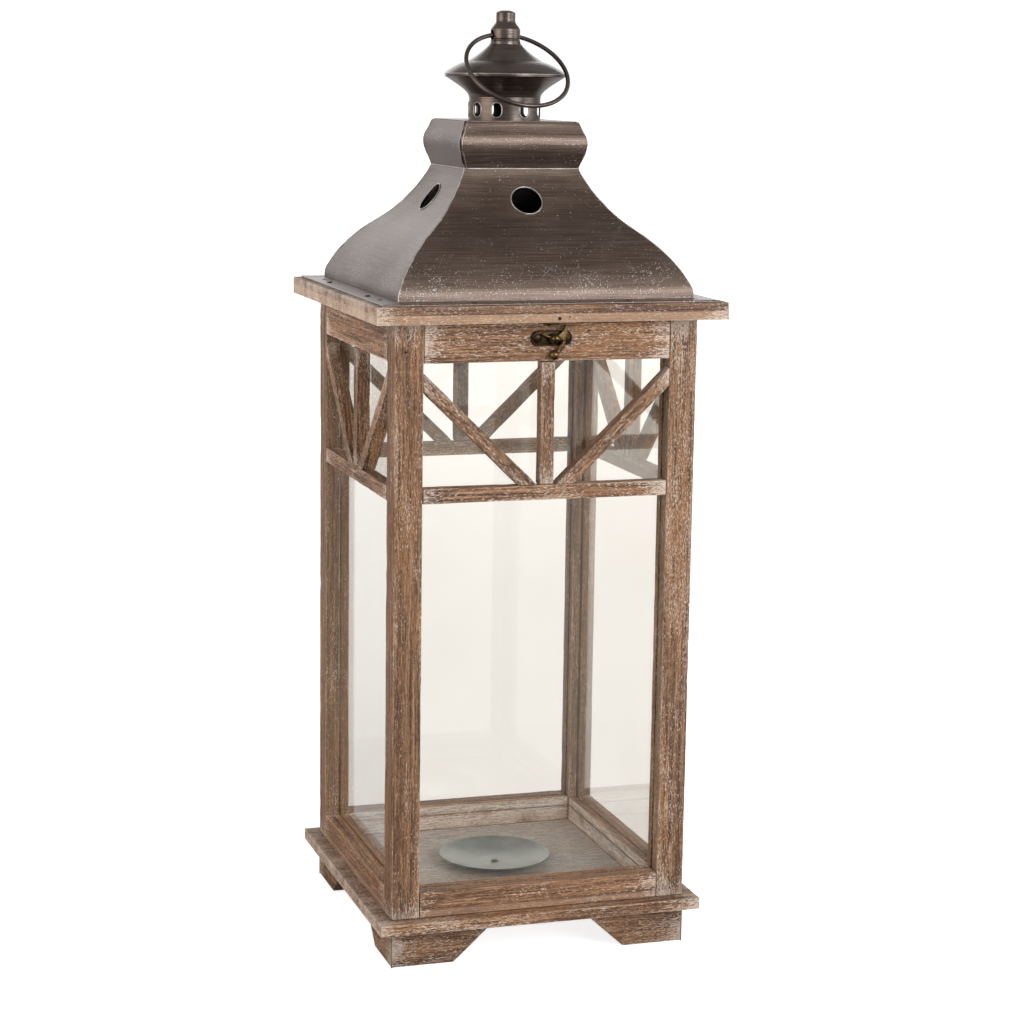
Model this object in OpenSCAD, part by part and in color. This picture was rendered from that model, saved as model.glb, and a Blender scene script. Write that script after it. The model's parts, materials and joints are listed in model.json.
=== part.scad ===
// Hanging lantern: a stained wood frame with four glass panes, a hinged roof board, a sheet-metal
// pagoda hood with chimney and drip cap, and a swinging ring. Millimetres, +Z up, origin on the
// floor at the centre of the base, front towards -Y.

/* [Base] */
// Side of the square base board
base_w = 222; // [180:1:260]
// Thickness of the base board
base_t = 8; // [5:0.5:15]
// Height of the bracket feet
foot_h = 24.5; // [10:0.5:40]
// Length of each foot arm where it stands on the ground
foot_len_low = 42; // [20:1:70]
// Length of each foot arm under the base board
foot_len_top = 69; // [30:1:90]
// Thickness of each foot arm
foot_t = 14; // [8:1:25]

/* [Frame] */
// Outer side of the square made by the four posts
frame_w = 204; // [160:1:240]
// Side of a square post
post_w = 19; // [12:0.5:30]
// Height of the bottom rails
bottom_rail_h = 17.5; // [8:0.5:30]
// Height of the underside of the mid rails above the ground
mid_rail_z = 308; // [200:1:350]
// Height of a mid rail
mid_rail_h = 10; // [6:0.5:20]
// Depth of the mid rails, mullions and braces, all outside the glass
bar_depth = 9.5; // [6:0.5:10]
// Height of the underside of the top rails above the ground
top_rail_z = 398; // [300:1:410]
// Height of the underside of the roof board above the ground
roof_z = 424.1; // [380:0.1:450]
// Air gap between the closed roof board and the frame
lid_gap = 0.3; // [0.2:0.1:1]
// Width of a centre mullion
mullion_w = 9.4; // [6:0.1:16]
// Width of a diagonal brace, measured square to its length
brace_w = 8.8; // [6:0.1:16]
// Height at which a brace's upper edge meets the post
brace_top_z = 392.3; // [360:0.1:398]

/* [Glazing] */
// Thickness of a glass pane
pane_t = 2.4; // [2:0.1:4]
// Width of the glazing grooves
groove_w = 3; // [2:0.1:5]
// Depth of the glazing grooves
groove_d = 4; // [2:0.5:6]
// Wood left outside the glazing groove
groove_inset = 10; // [6:0.5:14]
// Slack between a pane's edge and the bottom of its groove
pane_slack = 0.5; // [0.2:0.1:2]

/* [Candle dish] */
// Diameter of the dish rim
dish_d = 78; // [50:1:120]
// Depth of the dish from rim to centre
dish_depth = 6.6; // [3:0.1:15]
// Sheet thickness of the dish
dish_t = 0.8; // [0.5:0.1:2]

/* [Roof board] */
// Side of the square roof board
roof_w = 235; // [200:1:280]
// Thickness of the roof board
roof_t = 11.5; // [6:0.5:20]
// Diameter of the heat opening in the roof board
heat_hole_d = 120; // [60:1:180]
// Depth of the step along the upper half of the front edge
front_step = 1; // [0:0.1:3]
// Height of that step
front_step_h = 5.5; // [0:0.5:8]

/* [Hood] */
// Side of the hood's nailing flange
flange_w = 226; // [190:1:234]
// Side of the hood where it rises from the flange
hood_foot_w = 202; // [160:1:220]
// Side of the hood at the neck
neck_w = 78.6; // [50:0.1:120]
// Height of the hood from the board to the neck
hood_h = 82; // [50:0.5:120]
// Sheet thickness
sheet_t = 1; // [0.5:0.1:2]
// Diameter of the round hole in each hood face
hood_hole_d = 21; // [10:1:40]
// Height of those holes above the roof board
hood_hole_z = 62; // [40:1:75]
// Side of the collar box at its widest
collar_w = 87.8; // [60:0.1:120]
// Side of the collar box at the top
collar_top_w = 77.8; // [50:0.1:110]
// Height of the collar box
collar_h = 30.8; // [15:0.1:50]
// Height of the widest part of the collar box
collar_bulge_z = 16.4; // [5:0.1:25]

/* [Chimney and cap] */
// Outer diameter of the chimney tube
chimney_d = 48.2; // [30:0.1:70]
// Visible height of the chimney tube
chimney_h = 15; // [8:0.5:40]
// Width of one vent
vent_w = 6.8; // [3:0.1:10]
// Height of one vent
vent_h = 9.6; // [5:0.1:14]
// Diameter of the drip cap's rim
cap_d = 81; // [50:0.5:120]
// Height of the cap's rim above the top of the tube
cap_rise = 13.4; // [5:0.1:30]
// Height of the rolled hem at the cap's rim
hem_h = 2.2; // [1:0.1:5]
// Radius of the ridge line on the cap
ridge_r = 25.4; // [15:0.1:35]
// Diameter of the knob
knob_d = 19.8; // [12:0.1:30]
// Diameter of the tip above the knob
tip_d = 13; // [6:0.1:18]
// Total height of the lantern
total_h = 620; // [500:1:700]

/* [Ring] */
// Radius of the ring to the middle of its wire
ring_r = 34.5; // [25:0.1:50]
// Wire diameter of the ring
ring_wire_d = 3; // [2:0.1:5]
// Height of the ring's pivot above the ground
ring_z = 604; // [590:0.1:612]
// Diameter of the cross hole in the knob
ring_hole_d = 7.6; // [6:0.1:10]
// Angle of the ring below the horizontal as it leans on the cap
ring_lean = 41; // [30:0.5:45]
// Twist of the ring in its hole, its right side lower
ring_twist = 3.9; // [0:0.1:4]

/* [Latch] */
// Length of the latch plate
latch_len = 28; // [20:0.5:40]
// Height of the latch plate
latch_h = 10; // [6:0.1:14]
// Position of the latch plate's middle, to the right of the lantern's middle
latch_x = 1.3; // [-10:0.1:10]
// Height of the latch above the ground
latch_z = 412.9; // [400:0.1:420]
// Reach of the hook's blade from its pivot, just under the roof board
blade_reach = 10.9; // [8:0.1:11]
// Pivot of the hook, to the right of the plate's middle
pivot_dx = 1.2; // [-4:0.1:4]

/* [Hinges] */
// Width of one hinge
hinge_w = 30; // [20:1:50]
// Distance of each hinge from the lantern's middle
hinge_x = 62; // [40:1:85]
// Radius of a hinge knuckle
knuckle_r = 2.8; // [2:0.1:4]
// Radius of a hinge pin
hinge_pin_r = 1.2; // [0.8:0.1:2]
// Thickness of a hinge leaf
leaf_t = 1.2; // [0.8:0.1:2]

/* [Hidden] */
$fn = 64;
eps = 0.01;
half = frame_w / 2;
inner = half - post_w;
base_z = foot_h;
floor_z = base_z + base_t;
rail_top_z = floor_z + bottom_rail_h;
mid_top_z = mid_rail_z + mid_rail_h;
frame_top_z = roof_z - lid_gap;
rail_len = 2 * inner;
groove_y = half - groove_inset - groove_w / 2;
board_top_z = roof_z + roof_t;
neck_z = board_top_z + hood_h;
collar_top_z = neck_z + collar_h;
chimney_top_z = collar_top_z + chimney_h;
rim_z = chimney_top_z + cap_rise;
knob_r = knob_d / 2;
tip_r = tip_d / 2;
knob_z = ring_z - 6;
// the brace runs at 44.1 degrees, from the post down to the mid rail
brace_slope = 0.9687;
brace_drop = brace_w * sqrt(1 + brace_slope * brace_slope);
hinge_off = knuckle_r + 0.4;
hinge_y = half + hinge_off;
hinge_z = roof_z - hinge_off;
knuckle_gap = 0.15;
mid_knuckle = 10;
hook_x = latch_x + pivot_dx;
plate_t = 1.2;
hook_gap = 0.3;
hook_y = -half - plate_t - hook_gap;
hook_boss = 0.9;
hook_t = 1.8;
catch_bar_z = latch_z + 7.7;

wood = [0.46, 0.33, 0.24];
metal = [0.25, 0.22, 0.2];
steel = [0.5, 0.52, 0.49];
brass = [0.42, 0.33, 0.18];

// ---- helpers ----

// Point on a cubic curve
function bez(a, b, c, d, t) =
  pow(1 - t, 3) * a + 3 * t * pow(1 - t, 2) * b + 3 * t * t * (1 - t) * c + pow(t, 3) * d;
// Points along a cubic curve, its first point left out
function curve(a, b, c, d, n) = [for (i = [1 : n]) bez(a, b, c, d, i / n)];
// A list of [half width, height] points moved inwards
function thin(p, t) = [for (q = p) [q[0] - t, q[1]]];
// The same points on both sides of the middle
function both_sides(p) =
  concat(p, [for (i = [len(p) - 1 : -1 : 0]) [-p[i][0], p[i][1]]]);

// Square body whose four faces all follow one profile, with true mitred corners
module mitred(p, w) {
  intersection() {
    rotate([90, 0, 0]) linear_extrude(height = w, center = true) polygon(both_sides(p));
    rotate([90, 0, 90]) linear_extrude(height = w, center = true) polygon(both_sides(p));
  }
}

// Turns a piece made for the front to another side
module on_side(a) {
  rotate([0, 0, a]) children();
}

// ---- feet and base ----

// Outer face of one foot arm: straight at the corner, slanted at its inner end
module foot_face() {
  polygon([[0, 0], [foot_len_low, 0], [foot_len_top, foot_h], [0, foot_h]]);
}

// Bracket foot for the front left corner, with both arms slanted
module foot() {
  translate([-half, -half, 0]) {
    translate([0, foot_t, 0]) rotate([90, 0, 0]) linear_extrude(height = foot_t) foot_face();
    rotate([90, 0, 90]) linear_extrude(height = foot_t) foot_face();
  }
}

module foot_front_left() { color(wood) foot(); }
module foot_front_right() { color(wood) rotate([0, 0, 90]) foot(); }
module foot_back_right() { color(wood) rotate([0, 0, 180]) foot(); }
module foot_back_left() { color(wood) rotate([0, 0, 270]) foot(); }

module base_board() {
  color(wood)
  translate([-base_w / 2, -base_w / 2, base_z]) cube([base_w, base_w, base_t]);
}

// ---- frame ----

// Section of the front left post, with a glazing groove in each inner face
module post_section() {
  difference() {
    translate([-half, -half]) square(post_w);
    translate([-inner - groove_d, -groove_y - groove_w / 2]) square([groove_d + eps, groove_w]);
    translate([-groove_y - groove_w / 2, -inner - groove_d]) square([groove_w, groove_d + eps]);
  }
}

module post() {
  translate([0, 0, floor_z]) linear_extrude(height = frame_top_z - floor_z) post_section();
}

module post_front_left() { color(wood) post(); }
module post_front_right() { color(wood) rotate([0, 0, 90]) post(); }
module post_back_right() { color(wood) rotate([0, 0, 180]) post(); }
module post_back_left() { color(wood) rotate([0, 0, 270]) post(); }

// Bottom rail section: glazing groove on top and a scored line on the inner face
score_z = 43;
score = 0.8;
module bottom_rail() {
  difference() {
    translate([-inner, -half, floor_z]) cube([rail_len, post_w, bottom_rail_h]);
    translate([-inner - eps, -groove_y - groove_w / 2, rail_top_z - groove_d])
      cube([rail_len + 2 * eps, groove_w, groove_d + eps]);
    translate([-inner - eps, -inner - score, score_z]) cube([rail_len + 2 * eps, score + eps, score]);
  }
}

module bottom_rail_front() { color(wood) bottom_rail(); }
module bottom_rail_right() { color(wood) on_side(90) bottom_rail(); }
module bottom_rail_back() { color(wood) on_side(180) bottom_rail(); }
module bottom_rail_left() { color(wood) on_side(270) bottom_rail(); }

module mid_rail() {
  translate([-inner, -half, mid_rail_z]) cube([rail_len, bar_depth, mid_rail_h]);
}

module mid_rail_front() { color(wood) mid_rail(); }
module mid_rail_right() { color(wood) on_side(90) mid_rail(); }
module mid_rail_back() { color(wood) on_side(180) mid_rail(); }
module mid_rail_left() { color(wood) on_side(270) mid_rail(); }

module top_rail() {
  difference() {
    translate([-inner, -half, top_rail_z]) cube([rail_len, post_w, frame_top_z - top_rail_z]);
    translate([-inner - eps, -groove_y - groove_w / 2, top_rail_z - eps])
      cube([rail_len + 2 * eps, groove_w, groove_d + eps]);
  }
}

module top_rail_front() { color(wood) top_rail(); }
module top_rail_right() { color(wood) on_side(90) top_rail(); }
module top_rail_back() { color(wood) on_side(180) top_rail(); }
module top_rail_left() { color(wood) on_side(270) top_rail(); }

module mullion() {
  translate([-mullion_w / 2, -half, mid_top_z])
    cube([mullion_w, bar_depth, top_rail_z - mid_top_z]);
}

module mullion_front() { color(wood) mullion(); }
module mullion_right() { color(wood) on_side(90) mullion(); }
module mullion_back() { color(wood) on_side(180) mullion(); }
module mullion_left() { color(wood) on_side(270) mullion(); }

// Left brace: square-cut against the post and level-cut on the mid rail
brace_low_z = brace_top_z - brace_drop;
brace_foot_out = -inner + (brace_low_z - mid_top_z) / brace_slope;
brace_foot_in = -inner + (brace_top_z - mid_top_z) / brace_slope;
module brace() {
  translate([0, -half + bar_depth, 0]) rotate([90, 0, 0]) linear_extrude(height = bar_depth)
    polygon([[-inner, brace_low_z], [brace_foot_out, mid_top_z],
             [brace_foot_in, mid_top_z], [-inner, brace_top_z]]);
}

module brace_pair() {
  brace();
  mirror([1, 0, 0]) brace();
}

module braces_front() { color(wood) brace_pair(); }
module braces_right() { color(wood) on_side(90) brace_pair(); }
module braces_back() { color(wood) on_side(180) brace_pair(); }
module braces_left() { color(wood) on_side(270) brace_pair(); }

// ---- glass ----

pane_w = rail_len + 2 * (groove_d - pane_slack);
pane_low_z = rail_top_z - groove_d + pane_slack;
pane_top_z = top_rail_z + groove_d - pane_slack;
module pane() {
  translate([-pane_w / 2, -groove_y - pane_t / 2, pane_low_z])
    cube([pane_w, pane_t, pane_top_z - pane_low_z]);
}

module pane_front() { color([0.9, 0.92, 0.9, 0.3]) pane(); }
module pane_right() { color([0.9, 0.92, 0.9, 0.3]) on_side(90) pane(); }
module pane_back() { color([0.9, 0.92, 0.9, 0.3]) on_side(180) pane(); }
module pane_left() { color([0.9, 0.92, 0.9, 0.3]) on_side(270) pane(); }

// ---- candle dish ----

dish_r = dish_d / 2;
dish_flat_r = 9;
dish_steps = 10;
dish_screw_r = 1.6;
// Height of the dish's upper face above its flat middle
function dish_rise(r) = dish_depth * pow(max(0, r - dish_flat_r) / (dish_r - dish_flat_r), 1.6);
dish_line = [for (i = [0 : dish_steps]) let (r = dish_flat_r + (dish_r - dish_flat_r) * i / dish_steps)
  [r, dish_rise(r)]];
module candle_dish() {
  color(steel)
  translate([0, 0, floor_z]) rotate_extrude()
    polygon(concat([[dish_screw_r, 0]], dish_line,
      [for (i = [dish_steps : -1 : 0]) dish_line[i] + [0, dish_t]], [[dish_screw_r, dish_t]]));
}

module dish_screw() {
  color(steel)
  translate([0, 0, floor_z + dish_t]) {
    cylinder(h = 1.4, r1 = 3, r2 = 2.2);
    translate([0, 0, -dish_t - 6]) cylinder(h = 6 + dish_t + eps, r = dish_screw_r);
  }
}

// ---- latch on the front top rail ----

screw_dx = 9.5;
latch_screw_r = 1.2;
rivet_r = 1.6;
// Oblong outline, centred
module oblong(l, h) {
  square([l - h, h], center = true);
  translate([(l - h) / 2, 0]) circle(d = h);
  translate([-(l - h) / 2, 0]) circle(d = h);
}

module latch_plate() {
  color(brass)
  translate([latch_x, -half, latch_z]) rotate([90, 0, 0]) linear_extrude(height = plate_t)
    difference() {
      oblong(latch_len, latch_h);
      translate([screw_dx, 0]) circle(r = latch_screw_r);
      translate([-screw_dx, 0]) circle(r = latch_screw_r);
      translate([pivot_dx, 0]) circle(r = rivet_r);
    }
}

// Two pan-head screws
module latch_screws() {
  color(brass)
  for (s = [-1, 1])
    translate([latch_x + s * screw_dx, -half - plate_t, latch_z]) rotate([90, 0, 0]) {
      cylinder(h = 0.9, r1 = 2.6, r2 = 1.9);
      translate([0, 0, -plate_t - 7]) cylinder(h = plate_t + 7 + eps, r = latch_screw_r);
    }
}

// Rivet with a ball head in front of the hook
ball_r = 3;
rivet_len = plate_t + hook_gap + hook_boss + hook_t + hook_gap;
module latch_rivet() {
  color(brass)
  translate([hook_x, -half, latch_z]) rotate([90, 0, 0]) {
    translate([0, 0, -3]) cylinder(h = 3 + rivet_len + 1, r = rivet_r);
    translate([0, 0, rivet_len]) intersection() {
      translate([0, 0, 0.7]) sphere(r = ball_r);
      cylinder(h = 2 * ball_r, r = 2 * ball_r);
    }
  }
}

// Flat of the hook: hub, crescent blade on the right and a slim counter arm on the left
hub_r = 3.3;
hook_bore_r = rivet_r + 0.05;
module hook_flat() {
  difference() {
    union() {
      circle(r = hub_r);
      polygon([[0, 1.3], [-4, 2.2], [-8, 3.8], [-8.6, 2.6], [-4, 0.2], [0, -1.3]]);
      translate([-8.2, 3.2]) circle(r = 0.7);
      intersection() {
        translate([-2.1, 5.6]) circle(r = 11);
        circle(r = blade_reach);
        translate([1, -1.6]) square([12, 12.4]);
        difference() {
          translate([0, -4]) square([14, 18]);
          translate([-0.4, 9.3]) circle(r = 7.9);
        }
      }
    }
    circle(r = hook_bore_r);
  }
}

// Blade, round blob, tapering tail and a ball thumb piece hanging below the pivot
thumb = [0, -10.6];
thumb_r = 3.2;
blob_r = 1.5;
module latch_hook() {
  color(brass)
  translate([hook_x, hook_y, latch_z]) rotate([90, 0, 0]) {
    difference() {
      cylinder(h = hook_boss + eps, r = hub_r);
      translate([0, 0, -1]) cylinder(h = hook_boss + 2, r = hook_bore_r);
    }
    translate([0, 0, hook_boss]) {
      linear_extrude(height = hook_t) {
        hook_flat();
        polygon([[5, -1.2], [8.6, -1.4], [7.1, -2.9], [5.2, -6.2],
                 [2.9, -9.4], [0.6, -8.4], [3.1, -5], [4.3, -2.6]]);
      }
      translate([5.7, -2.4, blob_r]) sphere(r = blob_r);
      translate([thumb[0], thumb[1], hook_t / 2 + 0.1]) sphere(r = thumb_r);
    }
  }
}

// Keeper under the roof board's front overhang: a foot, a leg and a bar open to the right
catch_w = 7.5;
catch_d = 4;
catch_t = 1;
catch_foot_d = 9;
catch_hole_r = 1;
module latch_catch() {
  color(brass)
  translate([hook_x - catch_w / 2, -half - 0.5, 0]) difference() {
    union() {
      translate([0, -catch_d, catch_bar_z]) cube([catch_w, catch_d, catch_t]);
      translate([0, -catch_d, catch_bar_z]) cube([catch_t, catch_d, roof_z - catch_bar_z]);
      translate([-5, -catch_foot_d, roof_z - catch_t]) cube([5 + catch_t, catch_foot_d, catch_t]);
    }
    translate([-2.5, -catch_foot_d / 2, roof_z - 2]) cylinder(h = 3, r = catch_hole_r);
  }
}

// Small screw that holds the keeper's foot to the roof board
module catch_screw() {
  color(brass)
  translate([hook_x - catch_w / 2 - 2.5, -half - 0.5 - catch_foot_d / 2, roof_z - catch_t])
    rotate([180, 0, 0]) {
      cylinder(h = 0.8, r1 = 1.9, r2 = 1.3);
      translate([0, 0, -7]) cylinder(h = 7 + eps, r = catch_hole_r);
    }
}

// ---- hinges at the back ----

leaf_h = 12;
leaf_roof_d = 10.5;
knuckle_clear = knuckle_r + 0.3;
hinge_xs = [-hinge_x, hinge_x];

// Cylinder along X on the hinge axis, centred on x
module on_axis(x, l, r) {
  translate([x, hinge_y, hinge_z]) rotate([0, 90, 0]) cylinder(h = l, r = r, center = true);
}

module hinge_frame_leaf() {
  side_w = (hinge_w - mid_knuckle) / 2 - knuckle_gap;
  difference() {
    union() {
      translate([-hinge_w / 2, half, hinge_z - leaf_h]) cube([hinge_w, leaf_t, leaf_h]);
      for (s = [-1, 1]) on_axis(s * (hinge_w - side_w) / 2, side_w, knuckle_r);
    }
    translate([-mid_knuckle / 2 - knuckle_gap, half - 1, hinge_z - knuckle_clear])
      cube([mid_knuckle + 2 * knuckle_gap, 12, leaf_h]);
    on_axis(0, hinge_w + 2, hinge_pin_r);
  }
}

module hinge_roof_leaf() {
  difference() {
    union() {
      translate([-hinge_w / 2, hinge_y, roof_z - leaf_t]) cube([hinge_w, leaf_roof_d, leaf_t]);
      on_axis(0, mid_knuckle, knuckle_r);
    }
    for (s = [-1, 1])
      translate([s * (hinge_w + mid_knuckle) / 4, hinge_y + (knuckle_clear - 5) / 2, roof_z - 2.5])
        cube([(hinge_w - mid_knuckle) / 2 + eps, 5 + knuckle_clear, 7], center = true);
    on_axis(0, hinge_w, hinge_pin_r + 0.05);
  }
}

module hinge_frame_leaves() {
  color(brass) for (x = hinge_xs) translate([x, 0, 0]) hinge_frame_leaf();
}

module hinge_roof_leaves() {
  color(brass) for (x = hinge_xs) translate([x, 0, 0]) hinge_roof_leaf();
}

module hinge_pins() {
  color(brass) for (x = hinge_xs) on_axis(x, hinge_w, hinge_pin_r);
}

// Countersunk screws: two through each frame leaf and two through each roof leaf
hinge_screw_dx = 9.5;
module wood_screw(l) {
  cylinder(h = 0.7, r1 = 2.3, r2 = 1.6);
  translate([0, 0, -l]) cylinder(h = l + eps, r = 1.1);
}

module hinge_frame_screws() {
  color(brass) for (x = hinge_xs) for (s = [-1, 1])
    translate([x + s * hinge_screw_dx, half + leaf_t, hinge_z - 8]) rotate([-90, 0, 0]) wood_screw(9);
}

module hinge_roof_screws() {
  color(brass) for (x = hinge_xs) for (s = [-1, 1])
    translate([x + s * hinge_screw_dx, hinge_y + 7, roof_z - leaf_t]) rotate([180, 0, 0]) wood_screw(8);
}

// ---- roof ----

module roof_board() {
  color(wood)
  difference() {
    translate([-roof_w / 2, -roof_w / 2, roof_z]) cube([roof_w, roof_w, roof_t]);
    translate([0, 0, roof_z - 1]) cylinder(h = roof_t + 2, d = heat_hole_d);
    translate([-roof_w / 2 - 1, -roof_w / 2 - 1, board_top_z - front_step_h])
      cube([roof_w + 2, 1 + front_step, front_step_h + 1]);
  }
}

// Outer profile of the hood: a convex shoulder below, a concave sweep up to the neck
hood_mid = [68, 44.4];
hood_line = concat(
  [[hood_foot_w / 2, 0]],
  curve([hood_foot_w / 2, 0], [96, 20], [80.5, 35], hood_mid, 9),
  curve(hood_mid, [56, 53.5], [45.3, 68], [neck_w / 2, hood_h], 9));
hood_skin = 1.2 * sheet_t;
slot_at = 77;
slot_l = 6;
slot_w = 2;
hood_hole_tilt = 37;
hood_hole_half = 50;
module hood_shell() {
  translate([0, 0, board_top_z]) difference() {
    union() {
      translate([-flange_w / 2, -flange_w / 2, 0]) cube([flange_w, flange_w, sheet_t]);
      mitred(hood_line, hood_foot_w);
    }
    mitred(concat([[hood_foot_w / 2 - hood_skin, -1]], thin(hood_line, hood_skin),
      [[neck_w / 2 - hood_skin, hood_h + 1]]), hood_foot_w);
    for (a = [0 : 90 : 270]) rotate([0, 0, a]) {
      translate([0, -hood_hole_half, hood_hole_z]) rotate([90 - hood_hole_tilt, 0, 0])
        cylinder(h = 30, d = hood_hole_d, center = true);
      for (s = [-1, 1])
        translate([s * slot_at - slot_l / 2, -hood_foot_w / 2 - 3 - slot_w, -1])
          cube([slot_l, slot_w, sheet_t + 2]);
    }
  }
}

// Front face of the hood with its strip of flange, cut off at the two soldered mitres
module hood_face() {
  intersection() {
    hood_shell();
    translate([0, 0, board_top_z - 1]) linear_extrude(height = hood_h + 2)
      polygon([[0, 0], [-roof_w, -roof_w], [roof_w, -roof_w]]);
  }
}

module hood_front() { color(metal) hood_face(); }
module hood_right() { color(metal) on_side(90) hood_face(); }
module hood_back() { color(metal) on_side(180) hood_face(); }
module hood_left() { color(metal) on_side(270) hood_face(); }

// Nails along the flange, two a side
nail_at = 52;
module hood_nails() {
  color(metal)
  for (a = [0 : 90 : 270]) rotate([0, 0, a]) for (s = [-1, 1])
    translate([s * nail_at, -(flange_w + hood_foot_w) / 4, board_top_z + sheet_t]) {
      cylinder(h = 0.8, r1 = 2, r2 = 1.4);
      translate([0, 0, -8]) cylinder(h = 8 + eps, r = 0.8);
    }
}

// Collar box: flares from the neck to its widest line, rounds over, then tapers in to a flat top
collar_line = concat(
  [[neck_w / 2, 0]],
  curve([neck_w / 2, 0], [neck_w / 2 + 1.3, 5], [collar_w / 2 - 0.2, 9.5], [collar_w / 2, collar_bulge_z], 7),
  curve([collar_w / 2, collar_bulge_z], [collar_w / 2, collar_bulge_z + 3.8],
        [collar_w / 2 - 1.7, collar_bulge_z + 6.4], [collar_w / 2 - 2.5, collar_bulge_z + 8.2], 4),
  [[collar_top_w / 2, collar_h]]);
collar_inside = [for (q = thin(collar_line, hood_skin)) [q[0], min(q[1], collar_h - sheet_t)]];
module collar_box() {
  color(metal)
  translate([0, 0, neck_z]) difference() {
    mitred(collar_line, collar_w);
    mitred(concat([[neck_w / 2 - hood_skin, -1]], collar_inside), collar_w);
    translate([0, 0, collar_h - 3]) cylinder(h = 5, d = chimney_d - 2 * sheet_t);
  }
}

// Chimney tube standing on the collar, with a ring of upright oblong vents, punched by hand and so uneven
vent_z = 6.6;
vent_angles = [32, 65, 98, 133, 168, 204, 240, 286, 325, 359];
module chimney() {
  color(metal)
  translate([0, 0, collar_top_z]) difference() {
    cylinder(h = chimney_h, d = chimney_d);
    translate([0, 0, -1]) cylinder(h = chimney_h + 2, d = chimney_d - 2 * sheet_t);
    for (a = vent_angles) rotate([0, 0, a])
      translate([chimney_d / 4, 0, vent_z]) rotate([90, 0, 90]) linear_extrude(height = chimney_d)
        rotate([0, 0, 90]) oblong(vent_h, vent_w);
  }
}

// Underside of the cap: a concave flare from the tube out to the hem
cap_r = cap_d / 2;
hem_t = 1.2;
flare_line = concat([[chimney_d / 2, 0]],
  curve([chimney_d / 2, 0], [chimney_d / 2 + 0.6, 4], [chimney_d / 2 + 7, 7.5],
        [cap_r - 0.3, cap_rise], 8));
flare_t = 1;
flare_inside = [for (i = [len(flare_line) - 1 : -1 : 0])
  [max(flare_line[i][0] - 1.1 * flare_t, chimney_d / 2 - sheet_t),
   min(flare_line[i][1] + (i == 0 ? 0 : 0.4), cap_rise)]];
module cap_lower() {
  color(metal)
  translate([0, 0, chimney_top_z]) rotate_extrude()
    polygon(concat(flare_line, flare_inside));
}

// Top of the cap: hem, convex skirt to the ridge, then a concave sweep to the knob
ridge_z = 10;
cap_neck_r = 11.2;
cap_neck_z = knob_z - rim_z;
skirt_line = concat([[cap_r, 0], [cap_r, hem_h]],
  curve([cap_r, hem_h], [cap_r - 4, hem_h + 3.2], [ridge_r + 6, ridge_z - 1.6], [ridge_r, ridge_z], 7),
  curve([ridge_r, ridge_z], [ridge_r - 5, ridge_z + 2.6], [cap_neck_r + 3.6, cap_neck_z - 4.6],
        [cap_neck_r - 0.4, cap_neck_z], 8));
module cap_upper() {
  color(metal)
  translate([0, 0, rim_z]) rotate_extrude()
    polygon(concat(skirt_line, [[knob_r - 3, cap_neck_z]],
      [for (i = [len(skirt_line) - 1 : -1 : 2]) skirt_line[i] - [1.5, 1.2]],
      [[cap_r - hem_t, hem_h - 1], [cap_r - hem_t, 0]]));
}

// Knob with a rounded shoulder, a short round tip and the cross hole for the ring
knob_top_z = ring_z + 3.4;
tip_base_z = ring_z + 8.8;
knob_line = concat(
  [[0, knob_z], [knob_r + 0.5, knob_z], [knob_r, knob_z + 2.5], [knob_r, knob_top_z - 0.4]],
  curve([knob_r, knob_top_z - 0.4], [knob_r - 0.3, knob_top_z + 2.2], [tip_r + 0.8, tip_base_z - 2.4],
        [tip_r, tip_base_z], 6),
  [[tip_r, total_h - 1.6]],
  curve([tip_r, total_h - 1.6], [tip_r - 0.6, total_h - 0.5], [3, total_h], [0, total_h], 5));
module knob() {
  color(metal)
  difference() {
    rotate_extrude() polygon(knob_line);
    translate([0, 0, ring_z]) rotate([0, 90, 0])
      cylinder(h = 2 * knob_d, d = ring_hole_d, center = true);
  }
}

// Ring through the knob, leaning forwards on the cap
module ring() {
  color(metal)
  translate([0, 0, ring_z]) rotate([ring_lean, 0, 0]) rotate([0, ring_twist, 0])
    translate([0, -ring_r, 0]) rotate_extrude() translate([ring_r, 0]) circle(d = ring_wire_d, $fn = 32);
}

foot_front_left();
foot_front_right();
foot_back_left();
foot_back_right();
base_board();
post_front_left();
post_front_right();
post_back_left();
post_back_right();
bottom_rail_front();
bottom_rail_back();
bottom_rail_left();
bottom_rail_right();
mid_rail_front();
mid_rail_back();
mid_rail_left();
mid_rail_right();
top_rail_front();
top_rail_back();
top_rail_left();
top_rail_right();
mullion_front();
mullion_back();
mullion_left();
mullion_right();
braces_front();
braces_back();
braces_left();
braces_right();
pane_front();
pane_back();
pane_left();
pane_right();
candle_dish();
dish_screw();
latch_plate();
latch_screws();
latch_rivet();
latch_hook();
hinge_frame_leaves();
hinge_pins();
hinge_frame_screws();
hinge_roof_leaves();
hinge_roof_screws();
latch_catch();
catch_screw();
roof_board();
hood_front();
hood_back();
hood_left();
hood_right();
hood_nails();
collar_box();
chimney();
cap_lower();
cap_upper();
knob();
ring();
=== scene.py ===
"""Looks of the wooden lantern: worn stained wood, clear panes, dark sheet metal and an aged brass latch."""

import json
import math

import bmesh
import bpy
from mathutils import Matrix, Vector, noise


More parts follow.
